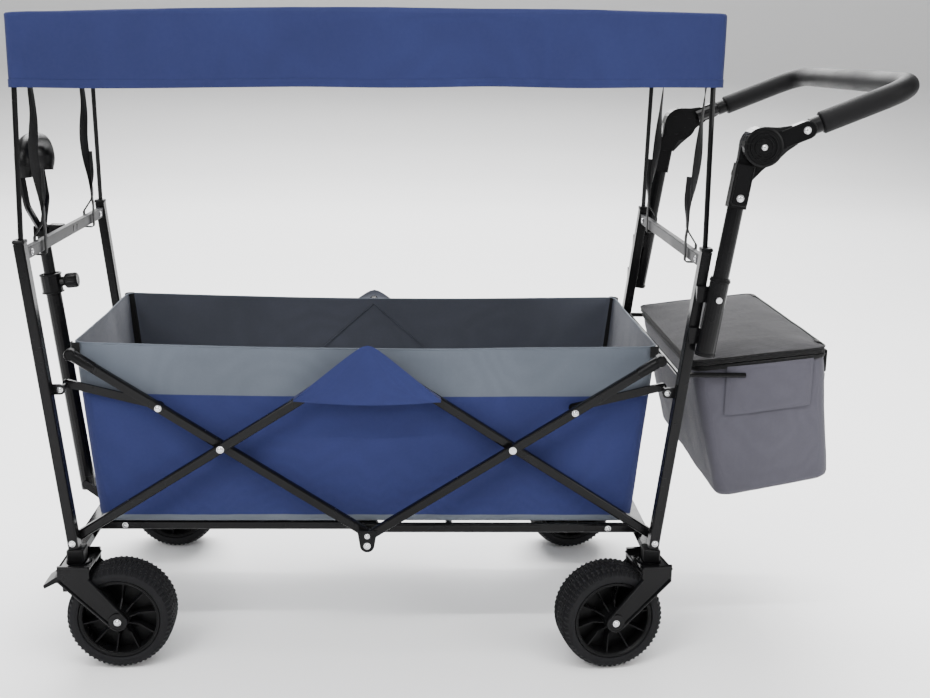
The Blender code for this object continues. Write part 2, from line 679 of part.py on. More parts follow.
def arm_point(distance, y, lift=0.0):
    """A point along the upper arm from the discs' centre."""
    return Vector((DISC[0] + distance * cos(ARM_RISE) - lift * sin(ARM_RISE), y,
                   DISC[1] + distance * sin(ARM_RISE) + lift * cos(ARM_RISE)))


def add_handle_side(side):
    """A socket on the post, its spring button, and the lower tube with the inner gear disc."""
    name = SIDE_NAME[side]
    post_face = POST_LAYER[1] + GAP
    pads = [block((post_x(REAR, z) - 0.007, side * post_face, z - PAD_HALF),
                  (post_x(REAR, z) + 0.018, side * 0.276, z + PAD_HALF)) for z in PAD_Z]
    out = side * SOCKET_RADIUS
    button = handle_point(BUTTON_Z, side)
    hole = rod(button + Vector((0, out * 0.5, 0)), button + Vector((0, out * 1.4, 0)), 0.0052, 12)
    bore = rod(handle_point(SOCKET_Z[0] - 0.02, side), handle_point(SOCKET_Z[1] + 0.02, side),
               SOCKET_BORE, 20)
    piece(f"handle_socket_{name}", "powder_coat",
          rod(handle_point(SOCKET_Z[0], side), handle_point(SOCKET_Z[1], side), SOCKET_RADIUS, 20),
          joined=pads, cut=(bore, hole), origin=handle_point(SOCKET_Z[0], side))
    face = button + Vector((0, side * (SOCKET_RADIUS + 0.0002), 0))
    piece(f"height_button_{name}", "bare_steel",
          rod(face, face + Vector((0, side * 0.0038, 0)), 0.0046, 12), origin=face)
    foot, top = handle_point(TUBE_Z[0], side), handle_point(TUBE_Z[1], side)
    low, high = layer(side, INNER_DISC)
    sleeve = beam(handle_point(SLEEVE_Z[0], side), handle_point(SLEEVE_Z[1], side), 0.0275, 0.0262, 0.004)
    clear = pin(side, DISC, (INNER_DISC[1], 0.31), DISC_RADIUS + 0.0012)
    piece(f"handle_lower_{name}", "powder_coat", rod(foot, top, TUBE_RADIUS, 20),
          joined=(sleeve,
                  rod((DISC[0], low, DISC[1]), (DISC[0], high, DISC[1]), DISC_RADIUS, 24),
                  prism(slot_outline(DISC, (handle_point(0.777, side).x, 0.777), 0.0135), low, high)),
          cut=(clear,), origin=foot)


def add_handle_bar():
    """The upper arms with the outer gear discs, one bent tube, and the foam grip on it."""
    discs, covers = [], []
    for side in (NEAR, FAR):
        low, high = layer(side, OUTER_DISC)
        discs.append(rod((DISC[0], low, DISC[1]), (DISC[0], high, DISC[1]), DISC_RADIUS, 24))
        end = arm_point(COVER_LENGTH - 0.011, 0)
        covers.append(prism(slot_outline(DISC, (end.x, end.z), 0.0130), low, high))
    corners = [arm_point(0.036, -HANDLE_Y), arm_point(ARM_LENGTH, -HANDLE_Y),
               arm_point(ARM_LENGTH, HANDLE_Y), arm_point(0.036, HANDLE_Y)]
    path = rounded_path(corners, BAR_BEND, 7)
    piece("push_handle_bar", "powder_coat", tube(path, BAR_RADIUS, 3), joined=discs + covers,
          origin=(DISC[0], 0, DISC[1]))
    grip = [arm_point(GRIP_START, -HANDLE_Y)] + path[1:-1] + [arm_point(GRIP_START, HANDLE_Y)]
    near_end, far_end = (arm_point(GRIP_START - 0.01, side * HANDLE_Y) for side in (NEAR, FAR))
    longer = [near_end] + path[1:-1] + [far_end]
    piece("push_handle_grip", "foam", tube(grip, GRIP_RADIUS, 3),
          cut=(tube(longer, BAR_RADIUS + 0.0005, 3),), origin=(DISC[0], 0, DISC[1]))


# ---------------------------------------------------------------- the wagon


def centre_on_origin(root):
    """Puts the middle of the whole wagon's footprint over the origin."""
    bpy.context.view_layer.update()
    graph = bpy.context.evaluated_depsgraph_get()
    corners = []
    for item in bpy.data.objects:
        if item.type == "MESH":
            shown = item.evaluated_get(graph)
            corners += [shown.matrix_world @ vertex.co for vertex in shown.data.vertices]
    for axis in (0, 1):
        values = [corner[axis] for corner in corners]
        root.location[axis] -= (min(values) + max(values)) / 2


def build():
    for item in list(bpy.data.objects):
        bpy.data.objects.remove(item)
    root = empty("wagon")
    for end in (FRONT, REAR):
        for side in (NEAR, FAR):
            add_post(end, side)
            add_link(end, side)
            add_caster(end, side)
        add_lower_crossbar(end)
        add_upper_crossbar(end)
        add_rail_frame(end)
        add_hoop(end)
    for side in (NEAR, FAR):
        add_scissors(side)
        add_brake_pedal(side)
        add_handle_side(side)
    add_handle_bar()
    add_pull_handle()
    add_canopy()
    add_basket()
    add_bag()
    centre_on_origin(root)


build()
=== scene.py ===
"""Looks of the folding pull wagon: materials, soft goods, hardware, lights and camera.

Places are in the wagon's own coordinates, measured from its middle, and every new piece is
moved by SHIFT to the frame. -X is the pull handle's end and -Y the near side. Metres.
"""

import json
from math import atan2, cos, hypot, pi, radians, sin, tan

import bmesh
import bpy
from mathutils import Matrix, Vector, noise


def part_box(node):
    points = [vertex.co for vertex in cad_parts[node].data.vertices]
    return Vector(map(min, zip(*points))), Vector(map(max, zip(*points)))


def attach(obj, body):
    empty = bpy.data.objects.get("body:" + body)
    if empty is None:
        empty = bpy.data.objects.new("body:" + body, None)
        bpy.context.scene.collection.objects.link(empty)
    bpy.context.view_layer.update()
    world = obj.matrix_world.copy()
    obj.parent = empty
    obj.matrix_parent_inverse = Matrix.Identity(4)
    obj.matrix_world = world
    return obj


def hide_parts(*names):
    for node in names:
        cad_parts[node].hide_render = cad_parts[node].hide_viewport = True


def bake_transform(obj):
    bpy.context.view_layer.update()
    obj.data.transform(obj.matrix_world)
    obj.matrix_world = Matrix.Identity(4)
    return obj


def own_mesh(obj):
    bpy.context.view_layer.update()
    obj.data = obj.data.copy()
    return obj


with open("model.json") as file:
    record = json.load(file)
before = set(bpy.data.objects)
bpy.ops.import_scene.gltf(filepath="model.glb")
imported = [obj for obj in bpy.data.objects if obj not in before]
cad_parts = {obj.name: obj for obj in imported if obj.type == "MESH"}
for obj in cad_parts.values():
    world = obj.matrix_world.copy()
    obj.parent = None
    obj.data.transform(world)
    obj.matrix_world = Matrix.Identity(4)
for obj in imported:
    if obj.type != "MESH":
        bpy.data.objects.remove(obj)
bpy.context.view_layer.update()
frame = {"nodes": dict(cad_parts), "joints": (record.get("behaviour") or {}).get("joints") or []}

NEAR, FAR = -1, 1
FRONT, REAR = -1, 1
SIDES = {NEAR: "near", FAR: "far"}
ENDS = {FRONT: "front", REAR: "rear"}
UP = Vector((0, 0, 1))
WELD = 1e-6
MIX_A, MIX_B, MIX_RESULT = 6, 7, 2


def wagon_middle():
    """Where the wagon's middle is in the frame, from the scissor bars and the front hoop."""
    front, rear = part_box("front_rising_bar_near"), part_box("rear_falling_bar_near")
    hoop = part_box("front_canopy_hoop")
    return Vector(((front[0].x + rear[1].x) / 2, (hoop[0].y + hoop[1].y) / 2, 0))


SHIFT = wagon_middle()

# ---------------------------------------------------------------- materials


def srgb(r, g, b):
    """Linear colour of an 8-bit one."""
    def one(v):
        v /= 255
        return v / 12.92 if v <= 0.04045 else ((v + 0.055) / 1.055) ** 2.4
    return (one(r), one(g), one(b), 1.0)


class Nodes:
    """A material's node tree with short calls."""

    def __init__(self, name, roughness, metallic=0.0, **sockets):
        self.material = bpy.data.materials.new(name)
        self.material.use_nodes = True
        self.tree = self.material.node_tree
        self.shader = self.tree.nodes["Principled BSDF"]
        self.shader.inputs["Roughness"].default_value = roughness
        self.shader.inputs["Metallic"].default_value = metallic
        for socket, value in sockets.items():
            self.shader.inputs[socket.replace("_", " ")].default_value = value
        self.place = self.add("ShaderNodeTexCoord").outputs["Object"]

    def add(self, kind, **inputs):
        node = self.tree.nodes.new(kind)
        for key, value in inputs.items():
            self.feed(node.inputs[key.replace("_", " ")], value)
        return node

    def feed(self, socket, value):
        if isinstance(value, bpy.types.NodeSocket):
            self.tree.links.new(value, socket)
        else:
            socket.default_value = value

    def link(self, out, socket):
        self.tree.links.new(out, self.shader.inputs[socket])

    def noise(self, scale, detail=3.0, stretch=(1, 1, 1)):
        place = self.place
        if stretch != (1, 1, 1):
            place = self.add("ShaderNodeMapping", Vector=place, Scale=stretch).outputs["Vector"]
        return self.add("ShaderNodeTexNoise", Vector=place, Scale=scale, Detail=detail).outputs["Fac"]

    def ramp(self, factor, low, high, out_low, out_high):
        return self.add("ShaderNodeMapRange", Value=factor, From_Min=low, From_Max=high, To_Min=out_low,
                        To_Max=out_high).outputs["Result"]

    def blend(self, factor, a, b):
        node = self.tree.nodes.new("ShaderNodeMix")
        node.data_type = "RGBA"
        self.tree.links.new(factor, node.inputs["Factor"])
        self.feed(node.inputs[MIX_A], a)
        self.feed(node.inputs[MIX_B], b)
        return node.outputs[MIX_RESULT]

    def math(self, operation, a, b):
        node = self.tree.nodes.new("ShaderNodeMath")
        node.operation = operation
        for socket, value in zip(node.inputs, (a, b)):
            self.feed(socket, value)
        return node.outputs[0]

    def wave(self, axis, pitch):
        node = self.add("ShaderNodeTexWave", Vector=self.place, Scale=2 * pi / (20 * pitch))
        node.bands_direction = axis
        return node.outputs["Fac"]

    def bump(self, height, distance, strength=1.0, under=None):
        node = self.add("ShaderNodeBump", Height=height, Distance=distance, Strength=strength)
        if under is not None:
            self.tree.links.new(under, node.inputs["Normal"])
        return node.outputs["Normal"]


def tint(colour, factor):
    return (*(min(1.0, c * factor) for c in colour[:3]), 1.0)


def hard(name, colour, roughness, peel=0.00003, peel_scale=900, wear=None, metallic=0.0, **sockets):
    """Paint, steel or plastic: fine peel or grain, cloudy gloss and light scuffs."""
    n = Nodes(name, roughness, metallic, **sockets)
    cloud = n.noise(9, 4)
    scuff = n.noise(60, 6, (1, 1, 6))
    light = wear or tint(colour, 2.2)
    base = n.blend(n.ramp(cloud, 0.3, 0.7, 0, 1), tint(colour, 0.82), tint(colour, 1.2))
    n.link(n.blend(n.ramp(scuff, 0.68, 0.8, 0, 0.35), base, light), "Base Color")
    rough = n.math("ADD", n.ramp(cloud, 0.3, 0.7, roughness * 0.85, roughness * 1.15),
                   n.ramp(scuff, 0.6, 0.8, 0, 0.12))
    n.link(rough, "Roughness")
    n.link(n.bump(n.noise(peel_scale, 2), peel), "Normal")
    return n.material


def woven(name, colour, roughness=0.85, pitch=0.0011, weave=0.00012, crease=0.0012, sheen=0.15, fade=1.25):
    """Coated woven cloth: threads both ways, soft creases and faint fading."""
    n = Nodes(name, roughness, Sheen_Weight=sheen, Sheen_Roughness=0.5)
    n.shader.inputs["Specular IOR Level"].default_value = 0.1
    threads = n.math("ADD", n.math("ADD", n.wave("X", pitch), n.wave("Y", pitch)), n.wave("Z", pitch))
    cloud, fine = n.noise(5, 4), n.noise(220, 3)
    base = n.blend(n.ramp(cloud, 0.3, 0.72, 0, 1), tint(colour, 0.86), tint(colour, fade))
    n.link(n.blend(n.ramp(n.math("ADD", threads, fine), 0.9, 2.6, 0, 0.22), base, tint(colour, 0.55)),
           "Base Color")
    n.link(n.ramp(fine, 0.3, 0.7, roughness - 0.07, min(1, roughness + 0.08)), "Roughness")
    folds = n.bump(n.noise(11, 3, (1, 1, 0.5)), crease * 6, 0.55)
    n.link(n.bump(threads, weave, 0.7, folds), "Normal")
    return n.material


def ribbed(name, colour, pitch, roughness=0.75):
    """Webbing or hook-and-loop: close ribs and fuzz."""
    n = Nodes(name, roughness, Sheen_Weight=0.1, Specular_IOR_Level=0.15)
    ribs = n.math("ADD", n.wave("Z", pitch), n.wave("Y", pitch * 1.7))
    fuzz = n.noise(700, 3)
    n.link(n.blend(n.ramp(fuzz, 0.35, 0.7, 0, 1), tint(colour, 0.7), tint(colour, 1.8)), "Base Color")
    n.link(n.bump(n.math("ADD", ribs, fuzz), 0.0003, 0.7), "Normal")
    return n.material


MATERIALS = {
    "powder_coat": hard("powder_coat_look", (0.0035, 0.0035, 0.0038, 1), 0.22, Specular_IOR_Level=0.12,
                        Coat_Weight=0.04, Coat_Roughness=0.05),
    "grey_steel": hard("grey_steel_look", srgb(38, 38, 40), 0.42, Specular_IOR_Level=0.1),
    "bare_steel": hard("bare_steel_look", srgb(215, 215, 217), 0.26, metallic=1.0, peel=0.00002),
    "moulding": hard("moulding_look", (0.0042, 0.0042, 0.0045, 1), 0.3, peel=0.0001, peel_scale=1500,
                     Specular_IOR_Level=0.1),
    "tread_rubber": hard("tread_rubber_look", srgb(16, 16, 18), 0.66, peel=0.00018, peel_scale=1100,
                         wear=srgb(36, 37, 40), Specular_IOR_Level=0.16),
    "foam": hard("foam_look", srgb(13, 13, 14), 0.55, peel=0.00022, peel_scale=1300,
                 Specular_IOR_Level=0.12),
    "canopy_blue": woven("canopy_blue_look", srgb(37, 43, 81), sheen=0.05, fade=1.1),
    "basket_blue": woven("basket_blue_look", srgb(39, 45, 85), sheen=0.05, fade=1.1),
    "band_grey": woven("band_grey_look", srgb(84, 90, 99), fade=1.12),
    "mat_grey": woven("mat_grey_look", srgb(74, 77, 86), fade=1.15),
    "bag_grey": woven("bag_grey_look", srgb(72, 71, 79), fade=1.12),
    "lid_grey": woven("lid_grey_look", srgb(31, 30, 34), fade=1.15),
    "webbing": ribbed("webbing_look", srgb(13, 13, 14), 0.0016),
}

# ---------------------------------------------------------------- mesh helpers


def shade(mesh, angle):
    """Smooth shading that keeps edges sharper than the angle."""
    for face in mesh.polygons:
        face.use_smooth = True
    mesh.set_sharp_from_angle(angle=radians(angle))


def linked(name, data):
    """A new object in the scene."""
    item = bpy.data.objects.new(name, data)
    bpy.context.scene.collection.objects.link(item)
    return item


class Build:
    """Gathers one piece's geometry, then makes its object."""

    def __init__(self):
        self.bm = bmesh.new()

    def weld(self):
        """Joins the points that coincide."""
        bmesh.ops.remove_doubles(self.bm, verts=self.bm.verts, dist=WELD)

    def faces(self, rings, closed=True, material=0, caps=(False, False)):
        """A skin over rings of points. Each ring is closed, or open if closed is False."""
        rows = [[self.bm.verts.new(p) for p in ring] for ring in rings]
        count = len(rows[0])
        span = count if closed else count - 1
        made = []
        for low, high in zip(rows, rows[1:]):
            for i in range(span):
                j = (i + 1) % count
                made.append(self.bm.faces.new((low[i], low[j], high[j], high[i])))
        if caps[0]:
            made.append(self.bm.faces.new(list(reversed(rows[0]))))
        if caps[1]:
            made.append(self.bm.faces.new(rows[-1]))
        for face in made:
            face.material_index = material
        return made

    def tube(self, path, radius, sides=12, material=0, closed=False):
        """A round tube along a path. radius is a number or one number a point."""
        points = [Vector(p) for p in path]
        count = len(points)
        radii = radius if hasattr(radius, "__len__") else [radius] * count
        rings, normal = [], None
        for i, point in enumerate(points):
            before = points[i - 1] if closed or i else point
            after = points[(i + 1) % count] if closed or i < count - 1 else point
            ahead = (after - before).normalized()
            if normal is None:
                normal = ahead.orthogonal()
            normal = (normal - ahead * normal.dot(ahead)).normalized()
            side = ahead.cross(normal)
            rings.append([point + (normal * cos(a) + side * sin(a)) * radii[i]
                          for a in (2 * pi * k / sides for k in range(sides))])
        if closed:
            rings.append(rings[0])
            made = self.faces(rings, True, material)
            self.weld()
            return made
        return self.faces(rings, True, material, (True, True))

    def turn(self, profile, centre, axis, sides=24, material=0, shape=None):
        """A closed or open (radius, along) profile turned round an axis."""
        centre, axis = Vector(centre), Vector(axis).normalized()
        u = axis.orthogonal().normalized()
        v = axis.cross(u)
        columns = []
        for k in range(sides):
            a = 2 * pi * k / sides
            out = u * cos(a) + v * sin(a)
            grow = shape(a) if shape else 1.0
            columns.append([centre + out * (r * grow) + axis * h for r, h in profile])
        columns.append(columns[0])
        made = self.faces(columns, False, material)
        self.weld()
        return made

    def dome(self, place, axis, radius=0.0046, height=0.0024, material=0):
        """A rivet or bolt head with a thin washer, whose flat side is at place."""
        r, h = radius, height
        self.turn([(0, -0.0006), (r * 1.25, -0.0006), (r * 1.25, 0.0004), (r, 0.0005), (r * 0.97, h * 0.45),
                   (r * 0.75, h * 0.85), (r * 0.4, h), (0, h)], place, axis, 16, material)

    def block(self, low, high, material=0, bevel=0.0):
        """A box with its edges rounded."""
        low, high = Vector(low), Vector(high)
        made = bmesh.ops.create_cube(self.bm, size=1.0)["verts"]
        middle, size = (low + high) / 2, high - low
        for vertex in made:
            vertex.co = Vector(vertex.co[i] * size[i] for i in range(3))
            vertex.co += middle
        faces = {f for v in made for f in v.link_faces}
        for face in faces:
            face.material_index = material
        if bevel:
            edges = {e for v in made for e in v.link_edges}
            bmesh.ops.bevel(self.bm, geom=list(edges), offset=bevel, segments=2, profile=0.5,
                            affect="EDGES", material=material)

    def strip(self, path, across, width, thick, material=0):
        """A flat strap along a path. across is its width's direction, one or one a point."""
        points = [Vector(p) for p in path]
        sides = across if isinstance(across, list) else [across] * len(points)
        rings = []
        for i, point in enumerate(points):
            ahead = (points[min(i + 1, len(points) - 1)] - points[max(i - 1, 0)]).normalized()
            wide = Vector(sides[i])
            wide = (wide - ahead * wide.dot(ahead)).normalized()
            up = ahead.cross(wide) * (thick / 2)
            wide = wide * (width / 2)
            rings.append([point + wide * 0.92 + up, point - wide * 0.92 + up, point - wide,
                          point - wide * 0.92 - up, point + wide * 0.92 - up, point + wide])
        return self.faces(rings, True, material, (True, True))

    def object(self, name, materials, body, angle=38):
        """The piece as an object that rides on a body."""
        bmesh.ops.recalc_face_normals(self.bm, faces=self.bm.faces)
        mesh = bpy.data.meshes.new(name)
        self.bm.to_mesh(mesh)
        self.bm.free()
        item = linked(name, mesh)
        for key in materials:
            mesh.materials.append(MATERIALS[key])
        shade(mesh, angle)
        item.location = SHIFT
        if body:
            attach(item, body)
        return item


def modify(item, kind, **settings):
    modifier = item.modifiers.new(kind.lower(), kind)
    for key, value in settings.items():
        setattr(modifier, key, value)
    return modifier


def bake(item):
    """Puts the modifiers into the mesh."""
    bpy.context.view_layer.update()
    graph = bpy.context.evaluated_depsgraph_get()
    mesh = bpy.data.meshes.new_from_object(item.evaluated_get(graph), depsgraph=graph)
    item.modifiers.clear()
    item.data = mesh


def thicken(item, thickness, offset, angle):
    """Gives a single layer of cloth its thickness."""
    modify(item, "SOLIDIFY", thickness=thickness, offset=offset)
    bake(item)
    shade(item.data, angle)


CLOTH_FRAMES = 20


def puff(item, pinned, pressure, cap):
    """Fills a closed cushion with a short cloth simulation. pinned gives 0 to 1 at a point."""
    start = [v.co.copy() for v in item.data.vertices]
    group = item.vertex_groups.new(name="pinned")
    for i, place in enumerate(start):
        group.add([i], pinned(place), "REPLACE")
    cloth = modify(item, "CLOTH")
    settings = cloth.settings
    settings.quality, settings.mass = 4, 0.2
    settings.tension_stiffness = settings.compression_stiffness = 18
    settings.bending_stiffness = 1.2
    settings.use_pressure, settings.uniform_pressure_force = True, pressure
    settings.vertex_group_mass = "pinned"
    settings.effector_weights.gravity = 0
    cloth.collision_settings.use_collision = False
    cloth.point_cache.frame_start, cloth.point_cache.frame_end = 1, CLOTH_FRAMES
    for step in range(1, CLOTH_FRAMES + 1):
        bpy.context.scene.frame_set(step)
    bake(item)
    bpy.context.scene.frame_set(1)
    for vertex, place in zip(item.data.vertices, start):
        move = vertex.co - place
        if move.length > cap:
            vertex.co = place + move * (cap / move.length)
    item.vertex_groups.clear()


def curve(points, steps=8):
    """A smooth path through points (Catmull-Rom)."""
    points = [Vector(p) for p in points]
    points = [2 * points[0] - points[1]] + points + [2 * points[-1] - points[-2]]
    path = []
    for a, b, c, d in zip(points, points[1:], points[2:], points[3:]):
        for k in range(steps):
            t = k / steps
            path.append(0.5 * ((2 * b) + (c - a) * t + (2 * a - 5 * b + 4 * c - d) * t ** 2
                               + (3 * b - a - 3 * c + d) * t ** 3))
    path.append(points[-2])
    return path


def rounded(corners, radius, steps=6):
    """A path whose corners are rounded."""
    corners = [Vector(c) for c in corners]
    path = [corners[0]]
    for a, b, c in zip(corners, corners[1:], corners[2:]):
        back, on = (a - b).normalized(), (c - b).normalized()
        half = back.angle(on) / 2
        reach = min(radius / tan(half), (a - b).length * 0.49, (c - b).length * 0.49)
        start, end = b + back * reach, b + on * reach
        for k in range(steps + 1):
            t = k / steps
            path.append(start.lerp(b, t).lerp(b.lerp(end, t), t))
    path.append(corners[-1])
    return path


def wave_noise(x, y, z, scale):
    return noise.noise(Vector((x * scale, y * scale, z * scale)))


def clamp(t):
    return max(0.0, min(1.0, t))


def smooth(t):
    t = clamp(t)
    return t * t * (3 - 2 * t)


# ---------------------------------------------------------------- CAD nodes

SHOWN = {
    "moulding": ("corner_bracket", "brake_pedal", "hub_", "pull_handle_grip"),
    "bare_steel": ("height_button",),
    "grey_steel": ("front_upper_crossbar", "rear_upper_crossbar"),
}


FLAT_STEEL = ("front_rising", "front_falling", "rear_rising", "rear_falling", "front_post", "rear_post",
              "front_upper", "rear_upper", "front_link", "rear_link", "front_floor", "rear_floor")


def dress_cad():
    """Gives each CAD node that stays its material, and smooth shading."""
    for name in frame["nodes"]:
        item = bpy.data.objects[name]
        look = next((key for key, starts in SHOWN.items() if name.startswith(starts)), "powder_coat")
        item.data.materials.clear()
        item.data.materials.append(MATERIALS[look])
        shade(item.data, 32)
        if name.startswith(FLAT_STEEL):
            modify(item, "BEVEL", width=0.0011, segments=2, limit_method="ANGLE", angle_limit=radians(50))


# ---------------------------------------------------------------- canopy

CANOPY_X = (-0.5125, 0.518)
CANOPY_Y = 0.248
CANOPY_Z = (0.8815, 0.9865)
CANOPY_RISE = 0.0175
CANOPY_BULGE = 0.0075
CANOPY_CORNER = 0.01
CANOPY_SEAM = 0.0245


def stops(low, high, count, ends):
    """Evenly spaced values with extra ones close to both ends."""
    inner = [low + (high - low) * i / count for i in range(count + 1)]
    return sorted({round(v, 5) for v in inner + [low + e for e in ends] + [high - e for e in ends]})


def canopy_ring():
    """Points round the canopy in plan, each with its way out, finer at the corners and seams."""
    low, high, half, r = CANOPY_X[0], CANOPY_X[1], CANOPY_Y, CANOPY_CORNER
    xs = stops(low + r, high - r, 46, (0.013, 0.015))
    ys = stops(-half + r, half - r, 18, ())
    corner = [pi / 2 * k / 4 for k in range(1, 4)]
    ring = [(x, -half, 0, -1) for x in xs]
    ring += [(high - r + r * sin(a), -half + r - r * cos(a), sin(a), -cos(a)) for a in corner]
    ring += [(high, y, 1, 0) for y in ys]
    ring += [(high - r + r * cos(a), half - r + r * sin(a), cos(a), sin(a)) for a in corner]
    ring += [(x, half, 0, 1) for x in reversed(xs)]
    ring += [(low + r - r * sin(a), half - r + r * cos(a), -sin(a), cos(a)) for a in corner]
    ring += [(low, y, -1, 0) for y in reversed(ys)]
    ring += [(low + r - r * cos(a), -half + r - r * sin(a), -cos(a), -sin(a)) for a in corner]
    return ring


def canopy_lift(x, z, share):
    """Height at a place: the canopy climbs to the rear, and its top bulges between the rods."""
    along = (x - CANOPY_X[0]) / (CANOPY_X[1] - CANOPY_X[0])
    return z + CANOPY_RISE * along + share * CANOPY_BULGE * sin(pi * clamp(along))


def canopy_skin(rings):
    """Wrinkled points of rings of (size, z, share of the top's bulge, looseness)."""
    skin = []
    middle_x = 0.5 * sum(CANOPY_X)
    for inward, z, share, loose in rings:
        points = []
        for x, y, nx, ny in canopy_ring():
            x, y = middle_x + (x - middle_x) * inward, y * inward
            place = Vector((x, y, canopy_lift(x, z, share)))
            fold = (wave_noise(x * 0.7, y * 1.2, z * 0.35, 9) * 0.003
                    + wave_noise(x + 3, y, z * 0.5, 24) * 0.0012)
            pull = 0.0022 * sin(pi * clamp((x - CANOPY_X[0]) / 1.03)) * abs(ny)
            out = Vector((nx, ny, 0)) * (fold * loose - pull * loose) * (1 if inward > 0.97 else 0)
            seam = 0.0007 if min(x - CANOPY_X[0], CANOPY_X[1] - x) < CANOPY_SEAM and abs(ny) > 0.9 else 0
            place += out + Vector((nx, ny, 0)) * seam * (1 if inward == 1 else 0)
            if inward < 1:
                place.z += fold * 0.35
            if loose > 0.9 and z < CANOPY_Z[0] + 0.02:
                place.z += wave_noise(x, y, 0, 6) * 0.0022
            points.append(place)
        skin.append(points)
    return skin


def add_canopy():
    """The cover: one sheet for the top and the valance, with a doubled hem."""
    low, high = CANOPY_Z
    rings = [(k, high, 1.0, 0.6) for k in (0.02, 0.15, 0.35, 0.55, 0.75, 0.88, 0.95, 0.985)]
    rings += [(0.996, high - 0.0007, 0.4, 0.3), (1.0, high - 0.003, 0.2, 0.25), (1.0, high - 0.007, 0, 0.4)]
    wall = (0.86, 0.72, 0.58, 0.44, 0.3, 0.2, 0.135)
    rings += [(1.0, low + (high - low) * w, 0, 0.5 + 0.5 * (1 - w)) for w in wall]
    build = Build()
    skin = canopy_skin(rings)
    hem = canopy_skin([(1.0, low + 0.0125, 0, 1), (1.0, low + 0.012, 0, 1), (1.0, low + 0.0005, 0, 1)])
    for row, grow in zip(hem, (0, 0.0008, 0.0008)):
        for point, (_, _, nx, ny) in zip(row, canopy_ring()):
            point += Vector((nx, ny, 0)) * grow
    build.faces(skin + hem, True, 0, (True, False))
    canopy = build.object("canopy_cover", ["canopy_blue"], None, 50)
    thicken(canopy, 0.0018, -1, 50)
    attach(canopy, "front_hoop")
    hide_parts("canopy_fabric")
    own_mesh(canopy)


BAR_HALF = (0.0062, 0.0105)
STRAP_Y = {FRONT: 0.157, REAR: 0.162}
STRAP_TOP = {FRONT: 0.5055, REAR: 0.511}
STRAP_SIZE = (0.014, 0.0013)


def add_straps():
    """Webbing from the canopy to the upper crossbars, looped round them, with loose tails."""
    for end in (FRONT, REAR):
        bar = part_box(f"{ENDS[end]}_upper_crossbar")
        bar_x, bar_z = (bar[0].x + bar[1].x) / 2 - SHIFT.x, (bar[0].z + bar[1].z) / 2
        wrap_x, half_z = BAR_HALF[0] + 0.002, BAR_HALF[1]
        for side in (NEAR, FAR):
            y = side * STRAP_Y[end]
            inner = -end
            top_x = end * STRAP_TOP[end]
            drop = curve([(top_x, y, 0.966), (top_x, y, 0.9), (top_x + inner * 0.003, y + 0.003, 0.84),
                          (bar_x - inner * 0.002, y - 0.002, 0.78), (bar_x + inner * 0.005, y, 0.71),
                          (bar_x + inner * 0.007, y, 0.68)], 6)
            loop = rounded([(bar_x + inner * 0.0085, y, bar_z + 0.024),
                            (bar_x + inner * wrap_x, y, bar_z + half_z),
                            (bar_x + inner * wrap_x, y, bar_z - half_z - 0.004),
                            (bar_x - inner * wrap_x, y, bar_z - half_z - 0.004),
                            (bar_x - inner * wrap_x, y, bar_z + half_z + 0.003),
                            (bar_x + inner * 0.0055, y, bar_z + 0.034)], 0.004, 4)
            tail = curve([(bar_x + inner * 0.0075, y, bar_z + 0.04),
                          (bar_x + inner * 0.0085, y, bar_z + 0.075),
                          (bar_x + inner * 0.006, y + 0.002, bar_z + 0.118)], 5)
            path = drop + loop + tail
            across = []
            for i, point in enumerate(path):
                if i < len(drop):
                    twist = radians(52) + 0.45 * sin(point.z * 42)
                    angle = twist * smooth((point.z - 0.685) / 0.06) * smooth((0.905 - point.z) / 0.05)
                elif i > len(drop) + len(loop):
                    angle = radians(-48) * smooth((point.z - 0.69) / 0.04)
                else:
                    angle = 0.0
                across.append(Vector((sin(angle), cos(angle), 0)))
            build = Build()
            build.strip(path, across, *STRAP_SIZE)
            strap = build.object(f"canopy_strap_{ENDS[end]}_{SIDES[side]}", ["webbing"], None, 60)
            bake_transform(strap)


# ---------------------------------------------------------------- basket

RIM_Z, FLOOR_Z = 0.501, 0.212
RIM_HALF = (0.45, 0.205)
FLOOR_HALF = (0.4225, 0.2)
BAND_Z = 0.4215
OUTER_CORNER, INNER_CORNER = 0.018, 0.016
LONG_STEPS, SHORT_STEPS = 44, 20


